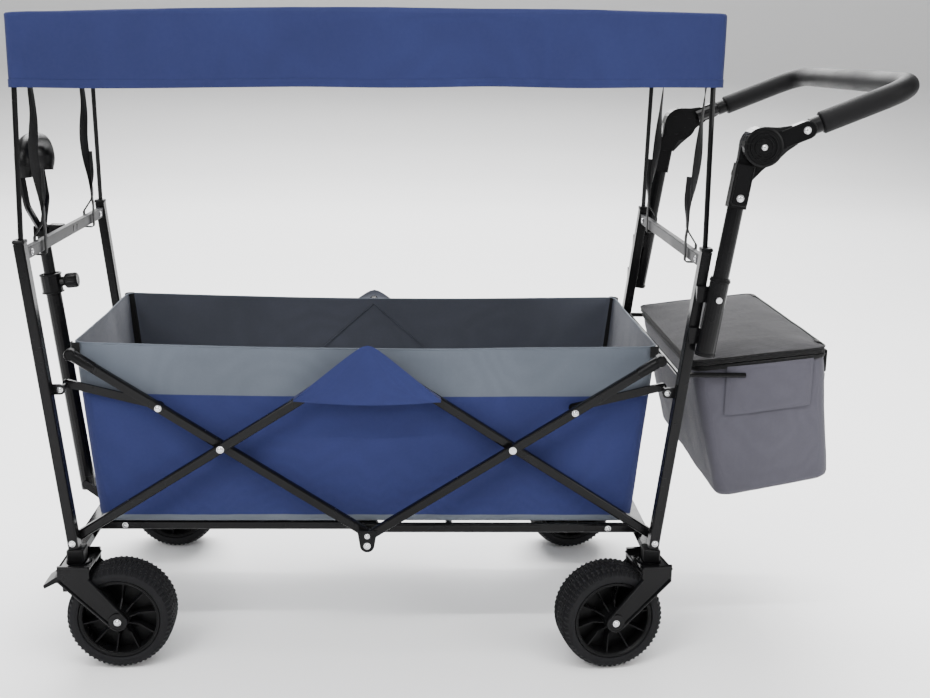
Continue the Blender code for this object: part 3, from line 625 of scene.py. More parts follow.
def basket_ring(z, inset, radius, loose):
    """One level of the basket: a rounded rectangle with the cloth's slack pulled in or out."""
    t = (z - FLOOR_Z) / (RIM_Z - FLOOR_Z)
    half_x = FLOOR_HALF[0] + (RIM_HALF[0] - FLOOR_HALF[0]) * t - inset
    half_y = FLOOR_HALF[1] + (RIM_HALF[1] - FLOOR_HALF[1]) * t - inset
    ring = []

    def put(x, y, nx, ny):
        mid = (cos(pi / 2 * x / half_x) if abs(ny) > abs(nx) else cos(pi / 2 * y / half_y))
        sag = smooth(4 * t * (1 - t)) * 0.0035 * mid * loose
        fold = (wave_noise(x * 1.1, y * 1.1, z * 0.8, 7) * 0.003
                + wave_noise(x + 2, y + 1, z * 0.6, 17) * 0.0012)
        crease = 0.0025 * wave_noise(x * 2, y * 2, z * 0.3, 14) * smooth(1 - t * 2.2)
        out = sag + (fold + crease) * loose * (0.35 + 0.65 * mid)
        droop = -0.0065 * mid * smooth((t - 0.55) / 0.45) * (1 if abs(ny) > abs(nx) else 0.4)
        ring.append(Vector((x + nx * out, y + ny * out, z + droop)))

    for k in range(LONG_STEPS + 1):
        put((-1 + 2 * k / LONG_STEPS) * (half_x - radius), -half_y, 0, -1)
    for cx, cy, start in ((1, -1, -90), (1, 1, 0), (-1, 1, 90), (-1, -1, 180)):
        middle = (cx * (half_x - radius), cy * (half_y - radius))
        for k in range(1, 5):
            a = radians(start + 90 * k / 5)
            put(middle[0] + radius * cos(a), middle[1] + radius * sin(a), cos(a), sin(a))
        if (cx, cy) == (1, -1):
            for k in range(SHORT_STEPS + 1):
                put(half_x, (-1 + 2 * k / SHORT_STEPS) * (half_y - radius), 1, 0)
        elif (cx, cy) == (1, 1):
            for k in range(LONG_STEPS + 1):
                put((1 - 2 * k / LONG_STEPS) * (half_x - radius), half_y, 0, 1)
        elif (cx, cy) == (-1, 1):
            for k in range(SHORT_STEPS + 1):
                put(-half_x, (1 - 2 * k / SHORT_STEPS) * (half_y - radius), -1, 0)
    return ring


def add_basket():
    """The basket's cloth, its corner strips, its bound rim and the crossed seams inside."""
    build = Build()
    base = basket_ring(FLOOR_Z + 0.003, 0.004, OUTER_CORNER, 0.0)
    outer_floor = [[Vector((p.x * k, p.y * k, FLOOR_Z - 0.0005)) for p in base] for k in (0.05, 0.5, 0.85)]
    lower = [basket_ring(FLOOR_Z + dz, inset, OUTER_CORNER, 0.2)
             for dz, inset in ((0.0, 0.003), (0.003, 0.0005))]
    levels = [FLOOR_Z + 0.011, 0.232, 0.25, 0.272, 0.296, 0.32, 0.345, 0.37, 0.394, BAND_Z]
    blue = [basket_ring(z, 0.0, OUTER_CORNER, 1.0) for z in levels]
    grey = [basket_ring(z, 0.0, OUTER_CORNER, 1.0) for z in (BAND_Z, 0.432, 0.45, 0.468, 0.484,
                                                             RIM_Z - 0.004)]
    roll = [basket_ring(RIM_Z, 0.0012, OUTER_CORNER, 1.0), basket_ring(RIM_Z, 0.0026, OUTER_CORNER, 1.0)]
    inner = [basket_ring(z, 0.0036, INNER_CORNER, 1.0) for z in (RIM_Z - 0.004, 0.47, 0.44, 0.4, 0.36, 0.32,
                                                                 0.28, 0.25, 0.225)]
    inner.append(basket_ring(FLOOR_Z + 0.0038, 0.008, INNER_CORNER, 0.1))
    base = basket_ring(FLOOR_Z + 0.0038, 0.008, INNER_CORNER, 0.0)
    inner_floor = [[Vector((p.x * k, p.y * k, FLOOR_Z + 0.0036)) for p in base] for k in (0.85, 0.5, 0.05)]
    build.faces(outer_floor + lower + [blue[0]], True, 1, (True, False))
    build.faces(blue, True, 0)
    build.faces(grey + roll, True, 1)
    build.faces([roll[-1]] + inner + inner_floor, True, 2, (False, True))
    build.weld()
    basket = build.object("basket_skin", ["basket_blue", "band_grey", "mat_grey"], "front_end", 55)
    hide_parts("basket_fabric")
    flatten(basket)
    trim = Build()
    for cx in (-1, 1):
        for cy in (NEAR, FAR):
            low = (cx * (FLOOR_HALF[0] - 0.0085), cy * (FLOOR_HALF[1] - 0.0085))
            top = (cx * (RIM_HALF[0] - 0.0085), cy * (RIM_HALF[1] - 0.0085))
            path = [(low[0] + (top[0] - low[0]) * t, low[1] + (top[1] - low[1]) * t,
                     FLOOR_Z + 0.014 + (RIM_Z - FLOOR_Z - 0.014) * t) for t in [k / 10 for k in range(11)]]
            trim.strip(path, Vector((cx, -cy, 0)), 0.016, 0.0012)
            cup = [Vector((cx * x, cy * y, 0)) for x, y in ((0.438, 0.2068), (0.445, 0.2068), (0.45, 0.205),
                                                            (0.452, 0.2005), (0.452, 0.195))]
            trim.strip([p + Vector((0, 0, 0.493)) for p in rounded(cup, 0.004, 3)], UP, 0.018, 0.0022)
    corners = trim.object("basket_corner_strips", ["webbing"], "front_end", 60)
    flatten(corners)
    binding = Build()
    ring = basket_ring(RIM_Z - 0.0005, 0.0018, OUTER_CORNER, 1.0)
    binding.tube(ring, 0.0017, 8, 0, True)
    edge = binding.object("basket_rim_binding", ["band_grey"], "front_end", 80)
    flatten(edge)
    seams = Build()
    for cy in (NEAR, FAR):
        for k in (-1, 1):
            path = []
            for i in range(25):
                t = i / 24
                x, z = k * 0.115 * (1 - 2 * t), 0.486 - 0.1 * abs(t - 0.5) * 2
                path.append((x, cy * (0.1978 + (z - 0.35) * 0.017), z))
            seams.tube(path, 0.0008, 6)
    crossed = seams.object("basket_inside_seams", ["mat_grey"], "front_end", 80)
    flatten(crossed)


def flatten(item):
    """Gives the piece a mesh of its own."""
    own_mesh(item)


def add_flaps():
    """A blue hood over the top middle joint of each side."""
    for side in (NEAR, FAR):
        build = Build()
        rows = []
        wide = 0.112
        for i in range(29):
            s = -1 + 2 * i / 28
            x = s * wide
            top = 0.4245 + (0.0845 if side == NEAR else 0.078) * (1 - hypot(s, 0.1)) / 0.9
            low = 0.4165 + 0.006 * s * s
            column = []
            for k in range(-4, 13):
                crease = 0.0016 * wave_noise(x * 2, 5, k * 0.01, 13) * (k > 0)
                if k == -4:
                    y, z = 0.2286, top - 0.04 * (1 - abs(s)) - 0.001
                elif k < 0:
                    turn = (k + 3) / 3 * pi / 2
                    y, z = 0.229 + 0.0185 * sin(turn), top - 0.015 * (1 - abs(s)) * (1 - turn * 2 / pi)
                else:
                    t = k / 12
                    y = 0.2475 + 0.0016 * sin(pi * t) * (1 - s * s)
                    z = top + (min(low, top - 0.002) - top) * t
                    y += 0.0013 * max(0, 1 - abs(abs(s) - t) * 8) * (k > 0)
                column.append(Vector((x, side * (y + crease), z)))
            rows.append(column)
        for face in build.faces(rows, False):
            inside = sum(abs(v.co.y) for v in face.verts) / 4 < 0.247
            face.material_index = 1 if inside and side == FAR else 0
        flap = build.object(f"basket_flap_{SIDES[side]}", ["basket_blue", "mat_grey"], None, 60)
        thicken(flap, 0.0014, 0, 60)
        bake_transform(flap)


MAT_HALF = (0.408, 0.188)
MAT_Z = (0.2163, 0.2243)
MAT_SEAM = 0.136
MAT_STEPS = (120, 56)


def add_mat():
    """The padded mat on the floor, in three hinged panels."""
    build = Build()
    x_half, y_half = MAT_HALF
    low_z, high_z = MAT_Z
    nx, ny = MAT_STEPS
    top, bottom = [], []
    for i in range(nx + 1):
        x = -x_half + 2 * x_half * i / nx
        row_top, row_bottom = [], []
        for j in range(ny + 1):
            y = -y_half + 2 * y_half * j / ny
            edge = min(x_half - abs(x), y_half - abs(y))
            seam = min(abs(x - MAT_SEAM), abs(x + MAT_SEAM))
            full = smooth(edge / 0.018) * smooth(seam / 0.016)
            soft = 0.0008 * wave_noise(x, y, 0, 14)
            row_top.append(Vector((x, y, low_z + 0.0022 + (high_z - low_z - 0.0022 + soft) * full)))
            row_bottom.append(Vector((x, y, low_z)))
        top.append(row_top)
        bottom.append(row_bottom)
    build.faces(top, False)
    build.faces(bottom, False)
    outline = [(i, 0) for i in range(nx)] + [(nx, j) for j in range(ny)]
    outline += [(i, ny) for i in range(nx, 0, -1)] + [(0, j) for j in range(ny, 0, -1)]
    build.faces([[top[i][j] for i, j in outline], [bottom[i][j] for i, j in outline]], True)
    build.weld()
    mat = build.object("floor_pad", ["mat_grey"], "front_end", 60)

    def sewn(place):
        edge = min(x_half - abs(place.x), y_half - abs(place.y), abs(abs(place.x) - MAT_SEAM))
        return 1.0 if place.z < low_z + 0.001 or edge < 0.004 else 0.0

    puff(mat, sewn, 3.0, 0.0035)
    shade(mat.data, 60)
    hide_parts("floor_mat")
    flatten(mat)


# ---------------------------------------------------------------- wheels

TREAD_STEPS = 300
BLOCKS = 60
GROOVE = 0.0022
RIBS = 10
RIB = ((0.0155, 0.0052), (0.0155, 0.03), (0.03, 0.0205), (0.0572, 0.0265), (0.0572, 0.0052))
STEM_REACH, STEM_DROP = 0.064, 0.152 - 0.082
LEG_OUT = 0.0424
HUBS = {}


def tyre_profile():
    """Half profile of the tyre from its middle to its bead: (across, radius, tread share)."""
    return [(0.0, 0.0818, 1), (0.0045, 0.0818, 1), (0.0055, 0.0818, 1), (0.0125, 0.0816, 1),
            (0.0145, 0.0815, 1), (0.0205, 0.0812, 1), (0.0225, 0.081, 1), (0.0265, 0.0804, 1),
            (0.0295, 0.0793, 1), (0.0325, 0.0775, 1), (0.0342, 0.0752, 0.35), (0.0349, 0.0722, 0),
            (0.035, 0.069, 0), (0.0346, 0.066, 0), (0.0334, 0.0636, 0), (0.032, 0.0629, 0)]


def tread(across, angle, share):
    """How deep the tread is cut at a place: zigzag grooves round it and slots at the shoulders."""
    if not share:
        return 0.0
    pitch = 2 * pi / BLOCKS
    phase = (angle / pitch) % 1
    zig = 0.0018 * (abs(phase - 0.5) * 4 - 1)
    depth = 0.0
    for groove in (0.005, 0.0135, 0.0215):
        if abs(abs(across) + zig * (1 if across > 0 else -1) - groove) < 0.0013:
            depth = GROOVE
    if abs(across) > 0.0225 and phase < 0.42:
        depth = GROOVE
    if 0.0055 < abs(across) < 0.0125 and ((angle / pitch + 0.5) % 1) < 0.22:
        depth = GROOVE
    return depth * share


def add_tyre(end, side):
    """A tyre with its tread, and the ribs and rims of its hub."""
    name = f"{ENDS[end]}_{SIDES[side]}"
    low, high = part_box(f"hub_{name}")
    centre = (low + high) / 2 - SHIFT
    spin = next(j for j in frame["joints"] if j["name"] == f"{ENDS[end]}_wheel_{SIDES[side]}_spin")
    axis = Vector(spin["axis"]).normalized()
    ahead = axis.cross(UP).normalized()
    half = tyre_profile()
    profile = [(-a, r, s) for a, r, s in reversed(half)] + half[1:]
    build = Build()
    rings = []
    for k in range(TREAD_STEPS):
        angle = 2 * pi * k / TREAD_STEPS
        out = ahead * cos(angle) + UP * sin(angle)
        rings.append([centre + out * (r - tread(a, angle, s)) + axis * a for a, r, s in profile]
                     + [centre + out * 0.0627 + axis * 0.0322, centre + out * 0.0627 - axis * 0.0322])
    rings.append(rings[0])
    build.faces(rings, True)
    build.weld()
    tyre = build.object(f"tyre_tread_{name}", ["tread_rubber"], f"{ENDS[end]}_wheel_{SIDES[side]}", 28)
    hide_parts(f"tyre_{name}")
    ribs = Build()
    for k in range(RIBS):
        angle = 2 * pi * (k + 0.3) / RIBS
        out = ahead * cos(angle) + UP * sin(angle)
        wide = ahead * -sin(angle) + UP * cos(angle)
        for face in (-1, 1):
            skin = [[centre + out * r + wide * w + axis * (face * h) for r, h in RIB]
                    for w in (-0.0011, 0.0011)]
            ribs.faces(skin, True, 0, (True, True))
    for face in (-1, 1):
        ribs.turn([(0.0566, 0.029), (0.059, 0.0318), (0.0618, 0.0322), (0.0624, 0.03)], centre, axis * face,
                  48)
        ribs.turn([(0.008, 0.0352), (0.0118, 0.0352), (0.0155, 0.0335), (0.016, 0.028)], centre,
                  axis * face, 32)
    ribs.object(f"hub_ribs_{name}", ["moulding"], f"{ENDS[end]}_wheel_{SIDES[side]}", 35)
    HUBS[end, side] = (centre, axis)


def add_fork_details(end, side):
    """Rolled flanges on the fork's legs, a swivel race, and the axle's bolt and nut."""
    name = f"{ENDS[end]}_{SIDES[side]}"
    centre, axis = HUBS[end, side]
    body = "front_end" if end == FRONT else f"rear_caster_{SIDES[side]}"
    outward = axis if axis.y * side > 0 else -axis
    along = outward.cross(UP).normalized()
    if along.x * end < 0:
        along = -along
    stem = centre + along * STEM_REACH
    slant = atan2(STEM_DROP, STEM_REACH)
    edge = []
    for k in range(9):
        a = slant - pi / 2 - pi * k / 8
        edge.append((0.0132 * cos(a), 0.0132 * sin(a)))
    edge = [(STEM_REACH + 0.0225, STEM_DROP - 0.004)] + edge + [(STEM_REACH - 0.0225, STEM_DROP - 0.001)]
    build = Build()
    for face in (-1, 1):
        level = outward * (face * LEG_OUT)
        path = rounded([centre + along * x + Vector((0, 0, z)) + level for x, z in edge], 0.006, 4)
        build.tube(path, 0.0019, 8)
        crest = [centre + along * x + Vector((0, 0, z)) + level
                 for x, z in ((0.0415, 0.0885), (0.0865, 0.0885))]
        build.tube(crest, 0.0016, 8)
        build.turn([(0, 0.0005), (0.0145, 0.0005), (0.014, 0.0018), (0.0105, 0.0026), (0, 0.0026)],
                   centre + level - outward * (face * 0.001), outward * face, 24)
    rim = [stem + along * (sx * 0.0245) + outward * (sy * 0.04) + Vector((0, 0, 0.0835))
           for sx, sy in ((-1, -1), (1, -1), (1, 1), (-1, 1))]
    build.tube(rim, 0.0014, 8, 0, True)
    race = [(0.009, 0.083), (0.019, 0.083), (0.0195, 0.0845), (0.018, 0.0852), (0.009, 0.0852)]
    build.turn(race, stem, (0, 0, 1), 28)
    build.object(f"fork_flanges_{name}", ["powder_coat"], body, 40)
    ends = Build()
    for face in (-1, 1):
        ends.dome(centre + outward * (face * 0.044), outward * face, 0.0044, 0.003)
    ends.object(f"axle_ends_{name}", ["bare_steel"], body, 40)


# ---------------------------------------------------------------- frame hardware

LEAN = radians(6.8)
CROSS = (0.2245, 0.3435)
PIVOT = (0.449, 0.2)
APEX = (0.0, 0.487)
HIGH_END = (0.4485, 0.4867)
LINK_LUG = (0.4594, 0.4387)
LINK_END = (0.3193, 0.4041)
BAR_OUT, BAR_IN, POST_OUT = 0.2441, 0.2291, 0.2681
TUBE_FOOT, TUBE_LEAN = (-0.487, 0.208), radians(7.1)
PLUG_OUTER, PLUG_BORE = (0.0087, 0.0117, 0.003), (0.0047, 0.0047, 0.0046)


def post_x(z):
    return PIVOT[0] + (z - PIVOT[1]) * tan(LEAN)


def add_rivets():
    """Silver rivet and bolt heads, gathered by the body that they are on."""
    heads = {}

    def head(body, x, y, z, out, radius=0.0046, height=0.0024):
        heads.setdefault(body, Build()).dome((x, y, z), (0, out, 0), radius, height)

    for side in (NEAR, FAR):
        outer, inner = side * BAR_OUT, side * BAR_IN
        head("front_rising_bars", -CROSS[0], outer, CROSS[1], side)
        head("front_rising_bars", APEX[0], outer, APEX[1], side)
        head("rear_rising_bars", CROSS[0], outer, CROSS[1], side)
        head("rear_rising_bars", 0, side * 0.2462, 0.2035, side, 0.0034, 0.002)
        head("rear_rising_bars", 0, side * 0.2462, 0.1875, side, 0.0044, 0.0026)
        head("front_falling_bars", -LINK_END[0], inner, LINK_END[1], side, 0.0042)
        head("rear_rising_bars", LINK_END[0], outer, LINK_END[1], side, 0.0042)
        for end in (FRONT, REAR):
            body = f"{ENDS[end]}_end"
            head(body, end * PIVOT[0], side * POST_OUT, PIVOT[1], side, 0.004, 0.0024)
            head(body, end * LINK_LUG[0], side * 0.2503, LINK_LUG[1], side, 0.0036)
            head(f"{ENDS[end]}_rails", end * 0.385, side * (0.1895 if end == FRONT else 0.2035), 0.2, side,
                 0.004)
            build = heads[body]
            build.dome((end * post_x(0.643) - end * 0.0056, side * 0.222, 0.643), (-end, 0, 0), 0.004,
                       0.0018)
        for z in (0.535, 0.598):
            head("rear_end", post_x(z) - 0.001, side * POST_OUT, z, side, 0.0038, 0.002)
        head("push_tubes", 0.5392, side * 0.299, 0.744, side, 0.0044)
        head("push_bar", 0.568, side * 0.3046, 0.818, side, 0.0036, 0.0022)
        head("push_bar", 0.629, side * 0.3021, 0.843, side, 0.0044)
    for body, build in heads.items():
        build.object(f"rivets_{body}", ["bare_steel"], body, 40)


def add_bar_fittings():
    """Round plastic ends of the upper bar ends, the middle knuckles, and the post plugs."""
    ends = {}
    for side in (NEAR, FAR):
        for end, body, depth in ((FRONT, "front_falling_bars", (0.214, 0.23)),
                                 (REAR, "rear_rising_bars", (0.2285, 0.2455))):
            build = ends.setdefault(body, Build())
            x, z = end * HIGH_END[0], HIGH_END[1]
            profile = [(0, depth[0]), (0.0078, depth[0]), (0.0092, depth[0] + 0.0015),
                       (0.0092, depth[1] - 0.0025), (0.0084, depth[1] - 0.0004), (0.0066, depth[1]),
                       (0.0058, depth[1] - 0.0008), (0, depth[1] - 0.0008)]
            build.turn(profile, (x, 0, z), (0, side, 0), 28)
            toward = Vector((-end * 0.449, 0, -0.287)).normalized()
            sleeve = [Vector((x, side * sum(depth) / 2, z)) + toward * d
                      for d in (0.004, 0.02, 0.036, 0.04)]
            build.tube(sleeve, [0.0091, 0.009, 0.0087, 0.008], 12)
        knuckle = ends.setdefault("rear_rising_bars", Build())
        plate = [(0.0115 * cos(radians(a)), 0.0115 * sin(radians(a))) for a in range(180, 361, 20)]
        outline = [(x, 0.1885 + z) for x, z in plate] + [(0.0155, 0.212), (-0.0155, 0.212)]
        skin = [[Vector((x, side * y, z)) for x, z in outline] for y in (0.2438, 0.246)]
        knuckle.faces(skin, True, 0, (True, True))
    for body, build in ends.items():
        build.object(f"bar_ends_{body}", ["moulding"], body, 40)
    for end in (FRONT, REAR):
        build = Build()
        for side in (NEAR, FAR):
            x, y = end * post_x(0.66), side * 0.2565
            outer, inner = rounded_square(*PLUG_OUTER), rounded_square(*PLUG_BORE)
            top = [Vector((x + a, y + b, 0.664)) for a, b in outer]
            rings = [[Vector((x + a, y + b, 0.6604)) for a, b in outer],
                     top, [Vector((x + a * 0.9, y + b * 0.9, 0.6655)) for a, b in outer],
                     [Vector((x + a, y + b, 0.6655)) for a, b in inner],
                     [Vector((x + a, y + b, 0.6615)) for a, b in inner]]
            build.faces(rings, True)
        build.object(f"post_plugs_{ENDS[end]}", ["moulding"], f"{ENDS[end]}_end", 40)


def rounded_square(half_x, half_y, radius):
    """Points round a rectangle with rounded corners."""
    points = []
    for cx, cy, start in ((1, 1, 0), (-1, 1, 90), (-1, -1, 180), (1, -1, 270)):
        for k in range(5):
            a = radians(start + 90 * k / 4)
            points.append((cx * (half_x - radius) + radius * cos(a),
                           cy * (half_y - radius) + radius * sin(a)))
    return points


def add_crossbar_details():
    """Two slots in the front crossbar and the clip that parks the pull handle."""
    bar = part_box("front_upper_crossbar")
    x, z = bar[1].x - SHIFT.x, (bar[0].z + bar[1].z) / 2
    slots = Build()
    for y in (0.03, 0.052):
        slots.block((x - 0.0002, y - 0.0022, z - 0.005), (x + 0.0006, y + 0.0022, z + 0.005), 0, 0.0002)
    slots.object("crossbar_slots", ["moulding"], "front_end", 40)
    clip = Build()
    face = bar[0].x - SHIFT.x
    tube_x = TUBE_FOOT[0] - (z - TUBE_FOOT[1]) * tan(TUBE_LEAN)
    clip.block((tube_x + 0.0128, -0.011, z - 0.011), (face + 0.0008, 0.011, z + 0.011), 0, 0.0015)
    for side in (NEAR, FAR):
        arm = [Vector((tube_x + 0.0122 * cos(a), side * 0.0122 * sin(a), 0))
               for a in [radians(v) for v in range(8, 131, 12)]]
        arm.append(Vector((tube_x - 0.0105, side * 0.0125, 0)))
        clip.strip([p + Vector((0, 0, z)) for p in arm], UP, 0.018, 0.0028)
    clip.object("handle_clip", ["moulding"], "front_end", 40)


def add_pull_details():
    """A fluted clamp knob, the moulded grip and the rims of the collar."""
    joint = next(j for j in frame["joints"] if j["name"] == "clamp_knob_turn")
    axis = Vector(joint["axis"]).normalized()
    start = Vector(joint["pos_m"]) - SHIFT

    def flute(a):
        return 1.0 - 0.055 * (0.5 + 0.5 * cos(22 * a))

    build = Build()
    build.turn([(0, 0.0002), (0.0092, 0.0002), (0.0118, 0.0022), (0.0126, 0.0045), (0.0126, 0.0178),
                (0.0118, 0.0205), (0.0098, 0.0218), (0.006, 0.0214), (0, 0.0212)], start, axis, 132, 0,
                flute)
    knob = build.object("clamp_knob_fluted", ["moulding"], "clamp_knob", 30)
    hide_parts("clamp_knob")
    up = Vector((-sin(TUBE_LEAN), 0, cos(TUBE_LEAN)))
    base = Vector((TUBE_FOOT[0], 0, TUBE_FOOT[1]))
    grip = Build()
    arch = curve([base + up * d + Vector((x, y, 0)) for d, y, x in ((0.533, -0.06, 0.008),
                                                                    (0.546, -0.061, 0.009),
                                                                    (0.566, -0.058, 0.01),
                                                                    (0.581, -0.04, 0.011),
                                                                    (0.586, 0.0, 0.011),
                                                                    (0.581, 0.04, 0.011),
                                                                    (0.566, 0.058, 0.01),
                                                                    (0.546, 0.061, 0.009),
                                                                    (0.533, 0.06, 0.008))], 8)
    last = len(arch) - 1
    thick = [0.0112 + 0.0042 * smooth(min(k, last - k) / 12) - 0.0022 * smooth((16 - abs(k - 32)) / 16)
             for k in range(last + 1)]
    grip.tube(arch, thick, 20)
    handle = grip.object("pull_grip_moulded", ["moulding"], "pull_grip", 50)
    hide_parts("pull_handle_grip")
    collar = Build()
    for d in (0.3352, 0.365):
        collar.turn([(0.0165, -0.0016), (0.0182, -0.001), (0.0182, 0.001), (0.0165, 0.0016)], base + up * d,
                    up, 28)
    collar.object("collar_rims", ["moulding"], "pull_handle", 40)


# ---------------------------------------------------------------- push handle

ARM_RISE = radians(22.3)
DISC = (0.568, 0.818)
ARM_LENGTH = 0.24
HANDLE_Y = 0.285
GRIP_RADIUS, GRIP_END = 0.0166, 0.015
SLEEVE_FOOT, SLEEVE_OUT, SLEEVE_LEAN = (0.5126, 0.5653), 0.2978, radians(8.3)


def arm_point(distance, y, lift=0.0):
    return Vector((DISC[0] + distance * cos(ARM_RISE) - lift * sin(ARM_RISE), y,
                   DISC[1] + distance * sin(ARM_RISE) + lift * cos(ARM_RISE)))


def add_push_details():
    """The foam grip, the ridged disc faces and the raised rims of the covers."""
    corners = [arm_point(0.092, -HANDLE_Y), arm_point(ARM_LENGTH, -HANDLE_Y),
               arm_point(ARM_LENGTH, HANDLE_Y), arm_point(0.092, HANDLE_Y)]
    path = rounded(corners, 0.055, 16)
    dense = []
    for a, b in zip(path, path[1:]):
        steps = max(1, int((b - a).length / 0.012))
        dense += [a.lerp(b, k / steps) for k in range(steps)]
    dense.append(path[-1])
    grip = Build()
    dense = ([dense[0], dense[0].lerp(dense[1], 0.12)] + dense[1:-1]
             + [dense[-1].lerp(dense[-2], 0.12), dense[-1]])
    grip.tube(dense, [GRIP_END] + [GRIP_RADIUS] * (len(dense) - 2) + [GRIP_END], 28)
    foam = grip.object("foam_grip", ["foam"], "push_bar", 60)
    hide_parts("push_handle_grip")
    rims = Build()
    for side in (NEAR, FAR):
        rims.turn([(0, 0.301), (0.0285, 0.301), (0.0288, 0.3022), (0.0272, 0.3032), (0.025, 0.3032),
                   (0.024, 0.3022), (0.0205, 0.3022), (0.0198, 0.3036), (0.0182, 0.3036), (0.0175, 0.3022),
                   (0.0142, 0.3022), (0.0135, 0.304), (0.0118, 0.304), (0.011, 0.303), (0, 0.303)],
                   (DISC[0], 0, DISC[1]), (0, side, 0), 48)
        outline = []
        for k in range(9):
            a = ARM_RISE - pi / 2 + pi * k / 8
            end = arm_point(0.068, 0)
            outline.append((end.x + 0.0118 * cos(a), end.z + 0.0118 * sin(a)))
        start_low, start_high = arm_point(0.031, 0, -0.0118), arm_point(0.031, 0, 0.0118)
        points = [(start_low.x, start_low.z)] + outline + [(start_high.x, start_high.z)]
        rims.tube([Vector((x, side * 0.3017, z)) for x, z in points], 0.001, 8)
        outline = [(0.0, 0.0284), (0.012, 0.0262), (0.03, 0.0185), (0.048, 0.0142), (0.048, -0.0142),
                   (0.03, -0.0185), (0.012, -0.0262), (0.0, -0.0284)]
        skin = [[arm_point(d, side * y, lift * k) for d, lift in outline]
                for y, k in ((0.2858, 1), (0.299, 1), (0.3004, 0.9))]
        rims.faces(skin, True, 0, (True, True))
        rims.tube([arm_point(d, side * HANDLE_Y) for d in (0.0765, 0.0905)], 0.0126, 24)
    rims.object("disc_rings", ["moulding"], "push_bar", 35)
    covers = Build()
    foot_x, foot_z = SLEEVE_FOOT
    lean = SLEEVE_LEAN
    for side in (NEAR, FAR):
        base = Vector((foot_x, side * SLEEVE_OUT, foot_z))
        up = Vector((sin(lean), 0, cos(lean)))
        wide = Vector((cos(lean), 0, -sin(lean)))
        low, high = (0.733 - foot_z) / cos(lean), (0.79 - foot_z) / cos(lean)
        ring = [base + up * high - wide * 0.0118, base + up * low - wide * 0.0118,
                base + up * low + wide * 0.0118, base + up * high + wide * 0.0118]
        covers.tube(rounded(ring, 0.005, 4), 0.001, 8)
        hub = Vector((DISC[0], 0, DISC[1]))
        outline = [(0.0, 0.0284), (0.012, 0.0266), (0.03, 0.0195), (0.05, 0.014), (0.05, -0.014),
                   (0.03, -0.0195), (0.012, -0.0266), (0.0, -0.0284)]
        tube_top = Vector((foot_x + (0.768 - foot_z) * tan(lean), 0, 0.768))
        down = (tube_top - hub).normalized()
        cross = Vector((down.z, 0, -down.x))
        skin = [[hub + down * d + cross * (c * k) + Vector((0, side * y, 0)) for d, c in outline]
                for y, k in ((0.2706, 0.9), (0.2722, 1), (0.2842, 1))]
        covers.faces(skin, True, 0, (True, True))
    covers.object("sleeve_rims", ["moulding"], "push_tubes", 40)
    rings = Build()
    for side in (NEAR, FAR):
        for z in (0.511, 0.621):
            place = Vector((foot_x + (z - foot_z) * tan(lean), side * HANDLE_Y, z))
            rings.turn([(0.0143, -0.0022), (0.0156, -0.0014), (0.0156, 0.0014), (0.0143, 0.0022)], place,
                       (sin(lean), 0, cos(lean)), 32)
    rings.object("socket_rims", ["moulding"], "rear_end", 40)


# ---------------------------------------------------------------- bag

BAG = ((0.553, 0.2585), (0.7345, 0.2925), (0.713, 0.4965), (0.4998, 0.4715))
BAG_Y = 0.224
BAG_INNER_CORNER = 0.012
LID_CORNER = 0.016
ARC_STEPS = 5
BAG_STEPS, LID_STEPS = (14, 26), (12, 22)


def round_box(half_x, half_y, radius, long_steps, wide_steps):
    """Points round a rectangle with rounded corners, each with its way out."""
    points = []
    for cx, cy, start in ((1, -1, -90), (1, 1, 0), (-1, 1, 90), (-1, -1, 180)):
        flat_x, flat_y = half_x - radius, half_y - radius
        for k in range(ARC_STEPS + 1):
            a = radians(start + 90 * k / ARC_STEPS)
            points.append((cx * flat_x + radius * cos(a), cy * flat_y + radius * sin(a), cos(a), sin(a)))
        if cx != cy:
            points += [(cx * half_x, cx * flat_y * (2 * k / wide_steps - 1), cx, 0)
                       for k in range(1, wide_steps)]
        else:
            points += [(-cy * flat_x * (2 * k / long_steps - 1), cy * half_y, 0, cy)
                       for k in range(1, long_steps)]
    return points


def bag_ring(t, inset, radius=0.02, loose=1.0):
    """One level of the bag, from its bottom (0) to its open top (1)."""
    (fx0, fz0), (rx0, rz0), (rx1, rz1), (fx1, fz1) = BAG
    fx, fz = fx0 + (fx1 - fx0) * t + inset, fz0 + (fz1 - fz0) * t
    rx, rz = rx0 + (rx1 - rx0) * t - inset, rz0 + (rz1 - rz0) * t
    half = BAG_Y - inset
    long_x = rx - fx
    points = []
    for x, y, nx, ny in round_box(long_x / 2, half, radius, *BAG_STEPS):
        x += (fx + rx) / 2
        share = (x - fx) / long_x
        z = fz + (rz - fz) * share
        mid = cos(pi / 2 * (2 * share - 1)) if abs(ny) > abs(nx) else cos(pi / 2 * y / half)
        belly = (0.003 * sin(pi * min(1, t * 1.1)) * mid - 0.001) * loose
        fold = (0.0022 * wave_noise(x, y, z * 0.7, 13) + 0.0012 * wave_noise(x + 4, y, z, 30)) * loose
        points.append(Vector((x + nx * (belly + fold), y + ny * (belly + fold), z)))
    return points


